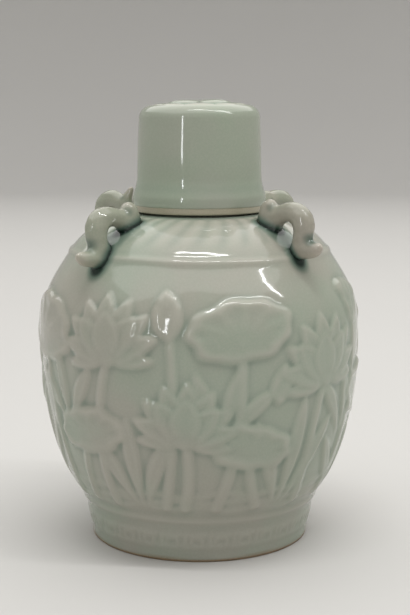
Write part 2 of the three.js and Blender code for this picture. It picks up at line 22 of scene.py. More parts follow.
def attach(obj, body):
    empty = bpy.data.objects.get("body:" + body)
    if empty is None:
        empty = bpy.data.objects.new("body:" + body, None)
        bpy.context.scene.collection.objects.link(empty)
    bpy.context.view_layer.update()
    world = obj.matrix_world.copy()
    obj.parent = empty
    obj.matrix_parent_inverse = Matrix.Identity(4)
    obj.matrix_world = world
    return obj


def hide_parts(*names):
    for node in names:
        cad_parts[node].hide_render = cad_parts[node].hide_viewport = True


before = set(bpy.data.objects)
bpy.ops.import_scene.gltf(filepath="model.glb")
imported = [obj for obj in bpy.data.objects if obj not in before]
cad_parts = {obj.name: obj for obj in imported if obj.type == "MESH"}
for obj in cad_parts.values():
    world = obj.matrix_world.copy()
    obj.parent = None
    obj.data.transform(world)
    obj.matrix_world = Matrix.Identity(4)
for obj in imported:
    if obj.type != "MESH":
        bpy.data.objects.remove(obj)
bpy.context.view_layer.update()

Array = np.ndarray
Point = tuple[float, float]
Colour = tuple[float, float, float]
Socket = bpy.types.NodeSocket
Input = Socket | float | Colour

MM = 0.001
TURN = 2.0 * math.pi
BLOCK = 4000  # points worked on at a time
MOUTH_HEIGHT = 128.117  # of the jar's mouth over the table
log = logging.getLogger("jar")


class Body(Enum):
    """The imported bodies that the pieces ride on."""

    JAR = "jar"
    LID = "lid"
    CORK = "cork"


class Slot(Enum):
    """The record's material slots."""

    GLAZE = "celadon_glaze"
    CORK = "cork"



# ---- curves and fields


def bezier(points: Sequence[Point], count: int) -> Array:
    """Evenly stepped points of a Bezier curve of any degree.

    Args:
        points: the curve's control points.
        count: how many points to return, both ends included.

    Returns:
        An array of count rows.
    """
    share = np.linspace(0.0, 1.0, count)[:, None]
    layer = [np.asarray(point, float) * np.ones_like(share) for point in points]
    while len(layer) > 1:
        layer = [a * (1 - share) + b * share for a, b in zip(layer, layer[1:])]
    return layer[0]


def threaded(knots: Array, steps: int) -> Array:
    """A smooth line through knots.

    Args:
        knots: the knots, one row each.
        steps: how many steps it takes from one knot to the next.

    Returns:
        The line's points.
    """
    padded = np.concatenate([[2 * knots[0] - knots[1]], knots, [2 * knots[-1] - knots[-2]]])
    t = np.linspace(0, 1, steps, endpoint=False)[:, None]
    stretches = []
    for a, b, c, d in zip(padded, padded[1:], padded[2:], padded[3:]):
        square, cube = 2 * a - 5 * b + 4 * c - d, 3 * b - a - 3 * c + d
        stretches.append(0.5 * (2 * b + (c - a) * t + square * t**2 + cube * t**3))
    return np.concatenate([*stretches, [knots[-1]]])


def arc(centre: Point, radius: float, start: float, end: float, count: int) -> Array:
    """Points of a circular arc.

    Args:
        centre: the arc's centre.
        radius: its radius.
        start: angle of the first point in degrees.
        end: angle of the last point in degrees.
        count: how many points to return.

    Returns:
        An array of count rows.
    """
    angle = np.radians(np.linspace(start, end, count))
    return np.stack([centre[0] + radius * np.cos(angle), centre[1] + radius * np.sin(angle)], 1)


def lengths(line: Array) -> Array:
    """Distance along a line of points, at each of them."""
    return np.concatenate([[0.0], np.cumsum(np.linalg.norm(np.diff(line, axis=0), axis=1))])


def between(wanted: Array, along: Array, line: Array) -> Array:
    """Points of a line at wanted distances, where along is the distance at each of its own."""
    return np.stack([np.interp(wanted, along, column) for column in line.T], -1)


def respaced(line: Array, spacing: float) -> Array:
    """The same line with evenly spaced points.

    Args:
        line: the line's points.
        spacing: the wished distance between neighbours.

    Returns:
        The new points, both ends kept.
    """
    along = lengths(line)
    count = max(2, round(along[-1] / spacing) + 1)
    return between(np.linspace(0.0, along[-1], count), along, line)


def joined(stretches: Sequence[Sequence[Point] | Array]) -> Array:
    """One line of points from its stretches."""
    return np.concatenate([np.asarray(stretch, float) for stretch in stretches])


def polar(place: Array) -> tuple[Array, Array]:
    """Distance from the jar's axis and bearing in radians, at each place."""
    return np.hypot(place[:, 0], place[:, 1]), np.arctan2(place[:, 1], place[:, 0])


def ramp(low: float, high: float, value: Array) -> Array:
    """A smooth step from 0 at low to 1 at high, where low may be the larger one."""
    share = np.clip((value - low) / (high - low), 0.0, 1.0)
    return share * share * (3.0 - 2.0 * share)


def hump(value: Array, width: float) -> Array:
    """A smooth hump, 1 at 0 and about a third of that where the value reaches the width."""
    return np.exp(-((value / width) ** 2))


def in_blocks(rule: Callable[[Array], Array], points: Array) -> Array:
    """A rule's value at each point, worked out in blocks to spare memory."""
    starts = range(0, max(1, len(points)), BLOCK)
    return np.concatenate([rule(points[start : start + BLOCK]) for start in starts])


def softened(values: Array, sigma: float) -> Array:
    """A grid blurred by a Gaussian, wrapping round in its second direction.

    Args:
        values: the grid, rows by columns.
        sigma: the blur in cells.

    Returns:
        The blurred grid.
    """
    reach = max(1, math.ceil(2.6 * sigma))
    taps = np.exp(-0.5 * (np.arange(-reach, reach + 1) / sigma) ** 2)
    taps /= taps.sum()
    padded = np.pad(values, ((reach, reach), (0, 0)), mode="edge")
    rows = len(values)
    down = sum(tap * padded[k : k + rows] for k, tap in enumerate(taps))
    return sum(tap * np.roll(down, k - reach, axis=1) for k, tap in enumerate(taps))


@dataclass(frozen=True)
class Wave:
    """A slow wave round the jar's axis, as hands leave it.

    Attributes:
        size: its height.
        count: how many of it go round.
        phase: its turn in radians.
        climb: height over which it turns by one radian more.
    """

    size: float
    count: float
    phase: float = 0.0
    climb: float = math.inf

    def at(self, bearing: Array, height: Array | float = 0.0) -> Array:
        """The wave's height at bearings in radians, and at heights if it turns with them."""
        return self.size * np.sin(self.count * bearing + height / self.climb + self.phase)


def swell(waves: Sequence[Wave], bearing: Array, height: Array | float = 0.0) -> Array:
    """The height of several waves together."""
    return sum(wave.at(bearing, height) for wave in waves)


# ---- the bare wall


@dataclass
class Wall:
    """The jar's bare outer wall from the table to the lid's rim, without its decoration.

    A place on it is given by its run, the distance along the wall above the foot line.

    Attributes:
        band: radius and height of the points that bend the foot band.
        lower: of those of the lower belly.
        upper: of those of the upper belly.
        dome: of those of the shoulder's dome.
        fineness: points along each of the four.
    """

    band: tuple[Point, ...] = ((36.0, 0.5), (36.5, 7.1), (38.7, 14.2))
    lower: tuple[Point, ...] = ((38.7, 14.2), (48.34, 27.96), (52.05, 48.0), (52.05, 70.0))
    upper: tuple[Point, ...] = ((52.05, 70.0), (52.05, 81.0), (48.31, 85.66), (42.05, 95.3))
    dome: tuple[Point, ...] = ((42.05, 95.3), (38.02, 101.51), (31.07, 104.82), (21.65, 106.65))
    fineness: int = 160

    def __post_init__(self) -> None:
        """Works out the wall's points, runs and outward directions."""
        bends = (self.band, self.lower, self.upper, self.dome)
        pieces = [bezier(bend, self.fineness) for bend in bends]
        self.line = np.concatenate([pieces[0], *(piece[1:] for piece in pieces[1:])])
        self.top = float(self.line[-1, 1])
        along = lengths(self.line)
        foot_line = self.fineness - 1
        self.run = along - along[foot_line]
        self.shoulder_run = float(self.run[foot_line + 2 * (self.fineness - 1)])
        tangent = np.gradient(self.line, axis=0)
        tangent /= np.linalg.norm(tangent, axis=1)[:, None]
        self.outward = np.stack([tangent[:, 1], -tangent[:, 0]], 1)

    def at_run(self, run: Array) -> Array:
        """Radius and height of places on the wall."""
        return between(run, self.run, self.line)

    def out_at(self, run: Array) -> Array:
        """The outward direction in radius and height at places on the wall."""
        return between(run, self.run, self.outward)

    def run_of_height(self, height: Array) -> Array:
        """The runs of places on the wall that lie at given heights."""
        return np.interp(height, self.line[:, 1], self.run)

    def gap(self, place: Array) -> Array:
        """How far places stand outside the wall, negative inside.

        Args:
            place: the places.

        Returns:
            The signed distances.
        """
        def nearest_gap(flat: Array) -> Array:
            """The same for places given by radius and height."""
            part = flat[:, None, :] - self.line[None, :, :]
            nearest = np.argmin((part**2).sum(2), axis=1)
            offset = part[np.arange(len(part)), nearest]
            return (offset * self.outward[nearest]).sum(1)

        return in_blocks(nearest_gap, np.stack([polar(place)[0], place[:, 2]], 1))


# ---- the moulded decoration


@dataclass
class Patch:
    """A window of the decoration's grid round a motif.

    Attributes:
        rows: the rows of the grid in the window.
        columns: its columns.
        across: how far each cell lies to the right of the motif's place.
        up: how far above it.
    """

    rows: Array
    columns: Array
    across: Array
    up: Array

    @property
    def cells(self) -> tuple[Array, Array]:
        """Where the window's cells are in the grid."""
        return np.ix_(self.rows, self.columns)

    def leaning(self, lean: float, root: Point = (0.0, 0.0)) -> tuple[Array, Array]:
        """The cells' places seen from a root, beside and along a direction that leans.

        Args:
            lean: the direction's lean from upright in degrees, to the right if positive.
            root: the root, across and up from the motif's place.

        Returns:
            How far they lie beside it to the right, and how far along it.
        """
        turn = math.radians(lean)
        x, y = self.across - root[0], self.up - root[1]
        return x * math.cos(turn) - y * math.sin(turn), x * math.sin(turn) + y * math.cos(turn)


@dataclass(frozen=True)
class Relief:
    """How a moulded form stands on its ground.

    Attributes:
        rise: its height over the ground.
        edge: width of its sloping edge.
        groove: depth of the line pressed round it.
    """

    rise: float
    edge: float
    groove: float


class Decoration:
    """Heights of the moulded decoration over the bare wall, on a grid of run and bearing."""

    COLUMNS = 1440
    STEP = 0.25  # between rows, along the wall
    GROOVE_OUT = 0.55  # how far out a form's groove lies, and its width, as a share of the edge
    GROOVE_GROUND = 0.3  # how much of a groove the bare wall takes, where 1 is all of it
    SOFTENING = 0.5  # how far the glaze rounds the moulding
    LEVELLING = 1.9  # how far it evens out the ground that hollows and edges are told from
    POOLING = 0.45  # how strongly the glaze shows in the hollows
    POOL_DEPTH = 0.4  # a hollow in which it shows in full
    THINNING = 0.5  # how strongly the clay shows through on raised edges
    THIN_HEIGHT = 0.45  # an edge on which it shows in full
    FLUTE_TONE = 0.38  # how strongly both show on the flutes

    def __init__(self, wall: Wall) -> None:
        """Starts a bare grid over a wall.

        Args:
            wall: the wall that carries the decoration.
        """
        self.wall = wall
        self.run = np.arange(wall.run[0], wall.run[-1], self.STEP)
        self.radius = wall.at_run(self.run)[:, 0]
        self.height = np.zeros((len(self.run), self.COLUMNS))
        self.tone = np.zeros_like(self.height)
        self.pool = np.zeros_like(self.height)
        self.thin = np.zeros_like(self.height)

    def axes(self) -> tuple[Array, Array]:
        """Run of each row and bearing in radians of each column, as a column and a row."""
        bearing = np.arange(self.COLUMNS) * 360.0 / self.COLUMNS
        return self.run[:, None], np.radians(bearing)[None, :]

    def patch(self, bearing: float, run: float, reach: float, side: float | None = None) -> Patch:
        """The window round a place.

        Args:
            bearing: the place's bearing in degrees.
            run: its run.
            reach: how far the window goes up and down.
            side: how far it goes sideways, if that differs.

        Returns:
            The window.
        """
        rows = np.flatnonzero(np.abs(self.run - run) <= reach)
        widest = math.degrees((reach if side is None else side) / self.radius[rows].min())
        half = min(self.COLUMNS // 2 - 1, math.ceil(widest / 360.0 * self.COLUMNS))
        middle = round(bearing / 360.0 * self.COLUMNS)
        steps = np.arange(middle - half, middle + half + 1)
        turn = np.radians(steps * 360.0 / self.COLUMNS - bearing)
        across = self.radius[rows][:, None] * turn[None, :]
        up = np.broadcast_to((self.run[rows] - run)[:, None], across.shape)
        return Patch(rows, steps % self.COLUMNS, across, up)

    def lay(self, patch: Patch, distance: Array, relief: Relief,
            crown: float | Array = 0.0) -> None:
        """Lays one form over what is there, with a soft edge and a groove round it.

        Args:
            patch: the window that the form lies in.
            distance: signed distance to the form's outline, negative inside.
            relief: how it stands on the ground.
            crown: more height, a number or a field over the window.
        """
        mask = ramp(relief.edge / 2, -relief.edge / 2, distance)
        ground = self.height[patch.cells]
        out = self.GROOVE_OUT * relief.edge
        line = relief.groove * hump(distance - out, out)
        line *= np.minimum(1, ground + self.GROOVE_GROUND)
        self.height[patch.cells] = ground * (1 - mask) + (relief.rise + crown) * mask - line

    def raise_by(self, patch: Patch, amount: Array) -> None:
        """Adds heights to what is there, or cuts them where they are negative."""
        self.height[patch.cells] += amount

    def settle(self) -> None:
        """Softens the moulding and works out where its glaze runs thin and deep."""
        self.height = softened(self.height, self.SOFTENING / self.STEP)
        level = softened(self.height, self.LEVELLING / self.STEP)
        self.pool = self.POOLING * np.clip((level - self.height) / self.POOL_DEPTH, 0, 1)
        self.pool += 0.5 * self.FLUTE_TONE * np.clip(-2 * self.tone, 0, 1) ** 0.6
        self.thin = self.THINNING * np.clip((self.height - level) / self.THIN_HEIGHT, 0, 1)
        self.thin += np.clip(self.FLUTE_TONE * self.tone, 0, 1)

    def sample(self, grid: Array, run: Array, bearing: Array) -> Array:
        """Values of a grid between its cells.

        Args:
            grid: one of this decoration's grids.
            run: runs of the wished places.
            bearing: their bearings in degrees.

        Returns:
            The values there.
        """
        row = np.clip((run - self.run[0]) / self.STEP, 0, len(self.run) - 1.001)
        column = np.mod(bearing, 360.0) * self.COLUMNS / 360.0
        i, j = row.astype(int), column.astype(int)
        fi, fj = row - i, column - j
        j, k = j % self.COLUMNS, (j + 1) % self.COLUMNS
        low = grid[i, j] * (1 - fj) + grid[i, k] * fj
        high = grid[i + 1, j] * (1 - fj) + grid[i + 1, k] * fj
        return low * (1 - fi) + high * fi


def blade(patch: Patch, root: Point, length: float, half: float, lean: float, bend: float = 0.0,
          fullness: float = 0.85) -> tuple[Array, Array, Array]:
    """A pointed blade, such as a petal or a reed.

    Args:
        patch: the window to measure in.
        root: the blade's foot, across and up from the motif's place.
        length: its length.
        half: half its greatest width.
        lean: its lean from upright in degrees, to the right if positive.
        bend: how far its tip is swept aside, as a share of the length.
        fullness: below 1 the blade is widest past its middle, above 1 before it.

    Returns:
        The signed distance to its outline, the share along it and the offset from its midrib.
    """
    aside, along = patch.leaning(lean, root)
    along = along / length
    aside = aside - bend * length * np.clip(along, 0, 1.2) ** 2
    share = np.clip(along, 0.0, 1.0)
    width = half * np.sin(math.pi * share ** (1 / fullness)) ** 0.8
    beyond = np.maximum(np.maximum(-along, along - 1.0), 0.0) * length
    return np.abs(aside) - width + beyond, share, aside


def stroke(patch: Patch, points: Array, half: Callable[[Array], Array] | float) -> Array:
    """Signed distance to a line drawn with a round tool.

    Args:
        patch: the window to measure in.
        points: the line's points, across and up.
        half: half the line's width, or that as a function of the share along it.

    Returns:
        The signed distance field.
    """
    best = np.full(patch.across.shape, np.inf)
    count = len(points) - 1
    for k in range(count):
        start, step = points[k], points[k + 1] - points[k]
        x, y = patch.across - start[0], patch.up - start[1]
        share = np.clip((x * step[0] + y * step[1]) / max(step @ step, 1e-9), 0, 1)
        away = np.hypot(x - share * step[0], y - share * step[1])
        width = half((k + share) / count) if callable(half) else half
        best = np.minimum(best, away - width)
    return best


@dataclass(frozen=True)
class Motif:
    """Something moulded on the belly.

    Attributes:
        bearing: degrees from the start of its half of the mould.
        run: how high up the wall it sits.
        size: its main length.
    """

    bearing: float
    run: float
    size: float

    REACH = 1.15  # of its window, as a share of its size

    def window(self, decoration: Decoration, shift: float) -> Patch:
        """The window that the motif is laid in."""
        return decoration.patch(self.bearing + shift, self.run, self.size * self.REACH)

    def lay(self, decoration: Decoration, shift: float) -> None:
        """Lays the motif, with its half of the mould turned by shift degrees."""
        self.press(decoration, self.window(decoration, shift))

    def press(self, decoration: Decoration, patch: Patch) -> None:
        """Presses the motif's forms into its window."""
        raise NotImplementedError


@dataclass(frozen=True)
class Stem(Motif):
    """A rising stem from its place to a head up and aside.

    Attributes:
        aside: how far its head stands to the right, along the wall.
        bow: how far its middle swings aside.
        half: half its width at the root.
    """

    aside: float = 0.0
    bow: float = 0.0
    half: float = 1.0

    RELIEF = Relief(0.6, 1.1, 0.08)
    CROWN = 0.1
    TAPER = 0.25  # how much thinner its head is, as a share
    STEPS = 14

    def window(self, decoration: Decoration, shift: float) -> Patch:
        """The window round the whole stem, measured from its root.

        Args:
            decoration: the decoration that it is laid in.
            shift: turn of its half of the mould in degrees.

        Returns:
            The window.
        """
        side = max(abs(self.aside), abs(self.bow)) + 4
        middle = self.size / 2
        patch = decoration.patch(self.bearing + shift, self.run + middle, middle + 3, side)
        return replace(patch, up=patch.up + middle)

    def press(self, decoration: Decoration, patch: Patch) -> None:
        """Presses the stem, thinner towards its head.

        Args:
            decoration: the decoration that it is laid in.
            patch: its window.
        """
        middle = (self.aside / 2 + self.bow, self.size / 2)
        line = bezier([(0.0, 0.0), middle, (self.aside, self.size)], self.STEPS)
        distance = stroke(patch, line, lambda share: self.half * (1 - self.TAPER * share))
        decoration.lay(patch, distance, self.RELIEF, self.CROWN)


@dataclass(frozen=True)
class Reeds(Motif):
    """A tuft of long blades.

    Attributes:
        leans: each blade's lean in degrees.
        bends: each blade's sweep.
        half: half a blade's width.
    """

    leans: tuple[float, ...] = (-14.0, 3.0, 17.0)
    bends: tuple[float, ...] = (-0.1, 0.04, 0.12)
    half: float = 2.4

    REACH = 1.1
    RELIEF = Relief(0.6, 1.1, 0.14)
    CROWN = 0.12
    RIB = 0.16  # depth of the line down each blade
    RIB_HALF = 0.5
    APART = 1.7  # between the blades' feet
    SHORTER = 0.13  # how much shorter the outer blades are, as a share
    FULLNESS = 0.72

    def press(self, decoration: Decoration, patch: Patch) -> None:
        """Presses the blades from left to right.

        Args:
            decoration: the decoration that they are laid in.
            patch: their window.
        """
        for k, (lean, bend) in enumerate(zip(self.leans, self.bends)):
            length = self.size * (1 - self.SHORTER * abs(k - 1))
            root = (self.APART * (k - 1), 0.0)
            distance, _, aside = blade(patch, root, length, self.half, lean, bend, self.FULLNESS)
            crown = self.CROWN - self.RIB * hump(aside, self.RIB_HALF)
            decoration.lay(patch, distance, self.RELIEF, crown)


@dataclass(frozen=True)
class Leaf(Motif):
    """A round water leaf seen aslant, with rays of veins and a rolled, scalloped edge.

    Attributes:
        flat: its height as a share of its width.
        tilt: its turn in degrees.
        heart: where the veins meet, as a share of its height below the middle.
    """

    flat: float = 0.62
    tilt: float = 0.0
    heart: float = -0.32

    REACH = 1.25
    RELIEF = Relief(0.72, 1.5, 0.14)
    SCALLOPS = ((0.035, 9), (0.03, 5))  # depth, as a share of its size, and number
    VEINS = 13
    VEIN_HEIGHT = 0.2
    VEIN_HALF = 0.55  # half a vein's width
    ROLL_HEIGHT = 0.26  # of its rolled edge
    ROLL_IN = 1.5  # how far in the roll's crest lies
    ROLL_HALF = 1.1
    DISH = 0.2  # how far its middle dips
    HUB_HEIGHT = 0.25  # of the hub that the veins run to
    HUB_RADIUS = 1.5

    def press(self, decoration: Decoration, patch: Patch) -> None:
        """Presses the leaf.

        Args:
            decoration: the decoration that it is laid in.
            patch: its window.
        """
        x, y = patch.leaning(-self.tilt)
        a, b = self.size, self.size * self.flat
        angle = np.arctan2(y / b, x / a)
        (deep, many), (shallow, few) = self.SCALLOPS
        scallops = deep * np.cos(many * angle + self.bearing)
        scallops += shallow * np.cos(few * angle - self.run)
        slant = (a * b) / np.hypot(b * np.cos(angle), a * np.sin(angle))
        distance = (np.hypot(x / a, y / b) - 1 - scallops) * slant
        x, y = x * self.flat, y - self.heart * b
        reach = np.hypot(x, y)
        off_vein = np.abs(np.sin(np.arctan2(y, x) * self.VEINS / 2)) * reach * 2 / self.VEINS
        veins = self.VEIN_HEIGHT * hump(off_vein, self.VEIN_HALF)
        veins *= ramp(1.2, 3.2, reach) * ramp(-0.8, -3.0, distance)
        roll = self.ROLL_HEIGHT * hump(distance + self.ROLL_IN, self.ROLL_HALF)
        roll *= 1 + 0.6 * np.sin(3 * angle + self.bearing)
        dish = self.DISH * ramp(-1.5, -5.0, distance)
        decoration.lay(patch, distance, self.RELIEF, roll - dish + veins)
        decoration.raise_by(patch, self.HUB_HEIGHT * hump(reach, self.HUB_RADIUS))


@dataclass(frozen=True)
class Blossom(Motif):
    """An open lotus from the side, its petals laid from the back to the front.

    Attributes:
        tilt: its lean in degrees.
        spread: how widely it opens, where 1 is full.
    """

    tilt: float = 0.0
    spread: float = 1.0

    # Each petal's lean in degrees, and its length and half width as shares of the size.
    BACK = (
        (0.0, 1.0, 0.19), (-21.0, 0.97, 0.18), (21.0, 0.97, 0.18), (-42.0, 0.93, 0.17),
        (42.0, 0.93, 0.17),
    )
    FRONT = (
        (-82.0, 0.74, 0.13), (82.0, 0.74, 0.13), (-62.0, 0.86, 0.17), (62.0, 0.86, 0.17),
        (-33.0, 0.78, 0.2), (33.0, 0.78, 0.2), (0.0, 0.72, 0.23),
    )
    RELIEFS = (Relief(0.62, 1.0, 0.24), Relief(0.74, 1.0, 0.24))
    CORE = Relief(0.8, 1.0, 0.16)
    CORE_RADIUS = 1.8
    FULLNESS = 1.05
    SWEEP = 0.0022  # of a petal's tip, as a share of its length for each degree of lean
    CREASE = 0.12  # depth of the line down a petal
    CREASE_HALF = 0.6
    LIP = 0.16  # height of its raised border
    LIP_IN = 1.0  # how far in the border's crest lies
    LIP_HALF = 0.7
    SWELL = 0.14  # how much higher a petal is at its foot

    def press(self, decoration: Decoration, patch: Patch) -> None:
        """Presses the petals and the core they grow from.

        Args:
            decoration: the decoration that they are laid in.
            patch: their window.
        """
        for petals, relief in zip((self.BACK, self.FRONT), self.RELIEFS):
            for lean, length, half in petals:
                open_lean = lean * self.spread
                distance, share, aside = blade(
                    patch, (0.0, 0.0), self.size * length, self.size * half,
                    self.tilt + open_lean, self.SWEEP * open_lean, self.FULLNESS,
                )
                crown = self.LIP * hump(distance + self.LIP_IN, self.LIP_HALF)
                crown -= self.CREASE * hump(aside, self.CREASE_HALF) * ramp(0.15, 0.4, share)
                crown += self.SWELL * (1 - share)
                decoration.lay(patch, distance, relief, crown)
        core = np.hypot(patch.across / 1.4, patch.up - 0.4) - self.CORE_RADIUS
        decoration.lay(patch, core, self.CORE)


@dataclass(frozen=True)
class Bud(Motif):
    """A closed bud between two sepals.

    Attributes:
        tilt: its lean in degrees.
    """

    tilt: float = 0.0

    REACH = 1.2
    # The bud and its sepals: lean in degrees, length and half width as shares, and rise.
    PARTS = ((0.0, 1.0, 0.27, 0.8), (-17.0, 0.74, 0.17, 0.65), (17.0, 0.74, 0.17, 0.65))
    FULLNESS = 0.95
    CROWN = 0.14

    def press(self, decoration: Decoration, patch: Patch) -> None:
        """Presses the bud, then its sepals.

        Args:
            decoration: the decoration that they are laid in.
            patch: their window.
        """
        for lean, length, half, rise in self.PARTS:
            half *= self.size
            distance, _, aside = blade(
                patch, (0.0, 0.0), self.size * length, half, self.tilt + lean, 0.0, self.FULLNESS
            )
            crown = self.CROWN * hump(aside, 0.5 * half)
            decoration.lay(patch, distance, Relief(rise, 1.1, 0.18), crown)


@dataclass(frozen=True)
class Pod(Motif):
    """A seed pod: a cone that opens upwards, with seeds on its top.

    Attributes:
        tilt: its lean in degrees.
    """

    tilt: float = 0.0

    REACH = 1.6
    CONE = Relief(0.68, 1.2, 0.16)
    CONE_HALVES = (0.18, 0.52)  # half its width at the root, and how much that grows, as shares
    TOP = Relief(0.85, 1.0, 0.16)
    TOP_HALVES = (0.76, 0.3)  # half its width and height, as shares
    RIB = 0.1
    SEEDS = (-0.62, -0.2, 0.22, 0.64)  # where they lie across the top, as shares of its half width
    SEED_UP = 0.18  # how far they lie above and below its middle by turns, as a share
    SEED_HEIGHT = 0.3
    SEED_RADIUS = 0.1  # as a share

    def press(self, decoration: Decoration, patch: Patch) -> None:
        """Presses the cone, its top and the seeds.

        Args:
            decoration: the decoration that they are laid in.
            patch: their window.
        """
        x, y = patch.leaning(self.tilt)
        root, growth = self.CONE_HALVES
        half = self.size * (root + growth * np.clip(y / self.size, 0, 1) ** 0.8)
        cone = np.maximum(np.abs(x) - half, np.abs(y - self.size / 2) - self.size / 2)
        ribs = self.RIB * np.cos(x / np.maximum(half, 0.5) * 7.5)
        decoration.lay(patch, cone, self.CONE, ribs)
        a, b = (share * self.size for share in self.TOP_HALVES)
        y = y - self.size
        decoration.lay(patch, (np.hypot(x / a, y / b) - 1) * b, self.TOP)
        for k, share in enumerate(self.SEEDS):
            up = (1 - 2 * (k % 2)) * self.SEED_UP * b
            seed = hump(np.hypot(x - share * a, y - up), self.SEED_RADIUS * self.size)
            decoration.raise_by(patch, self.SEED_HEIGHT * seed)


@dataclass
class Pond:
    """The lotus pond round the belly, from a mould in two like halves.

    Attributes:
        start: bearing in degrees where the first half starts.
        motifs: what one half holds, laid in this order.
    """

    start: float = -135.0
    motifs: tuple[Motif, ...] = (
        Reeds(9.0, 6.0, 35.0, (-16.0, 2.0, 18.0), (-0.12, 0.04, 0.13)),
        Reeds(66.0, 6.0, 31.0, (-20.0, -2.0, 14.0), (-0.13, -0.03, 0.12)),
        Reeds(124.0, 6.0, 37.0, (-14.0, 4.0, 20.0), (-0.1, 0.05, 0.15)),
        Reeds(157.0, 6.0, 27.0, (-20.0, 0.0, 17.0), (-0.12, 0.0, 0.13)),
        Reeds(37.0, 32.0, 25.0, (-34.0, -8.0, 20.0), (-0.18, -0.06, 0.14)),
        Reeds(97.0, 31.0, 25.0, (-12.0, 13.0, 37.0), (-0.08, 0.08, 0.17)),
        Reeds(154.0, 26.0, 29.0, (-26.0, -3.0, 19.0), (-0.15, -0.04, 0.12)),
        Stem(27.0, 6.0, 50.0, aside=-4.0, bow=4.0, half=1.6),
        Stem(40.0, 6.0, 24.0, aside=5.0, bow=-2.0, half=1.5),
        Stem(52.5, 6.0, 50.0, aside=5.0, bow=-5.0, half=1.6),
        Stem(76.0, 6.0, 59.0, aside=3.5, bow=5.0, half=1.4),
        Stem(97.0, 6.0, 52.0, aside=6.0, bow=5.0, half=1.6),
        Stem(114.0, 6.0, 20.0, aside=-5.0, bow=-2.0, half=1.5),
        Stem(134.0, 6.0, 42.0, aside=3.5, bow=-4.0, half=1.6),
        Stem(151.0, 6.0, 58.0, aside=6.0, bow=5.0, half=1.4),
        Stem(175.0, 6.0, 30.0, aside=-3.0, bow=3.0, half=1.5),
        Stem(-1.0, 6.0, 38.0, aside=3.0, bow=2.0, half=1.4),
        Leaf(21.0, 61.0, 18.0, 0.58, -7.0, -0.3),
        Leaf(47.0, 31.0, 14.5, 0.52, 8.0, -0.25),
        Leaf(108.0, 28.0, 14.0, 0.52, -9.0, -0.2),
        Leaf(104.0, 64.0, 16.5, 0.56, 7.0, -0.3),
        Leaf(172.0, 39.0, 16.0, 0.58, -5.0, -0.3),
        Bud(80.0, 61.0, 15.5, -6.0),
        Bud(1.5, 43.0, 14.5, 8.0),
        Bud(117.0, 41.0, 12.5, 12.0),
        Blossom(58.0, 54.0, 21.0, -5.0, 1.0),
        Stem(84.0, 6.0, 26.0, aside=1.0, bow=2.5, half=1.6),
        Blossom(84.5, 29.5, 20.0, 5.0, 1.0),
        Blossom(138.0, 46.0, 22.0, -6.0, 1.0),
        Pod(158.0, 62.0, 11.0, 9.0),
    )

    def lay(self, decoration: Decoration) -> None:
        """Lays both halves of the pond."""
        for half in (0.0, 180.0):
            for motif in self.motifs:
                motif.lay(decoration, self.start + half)


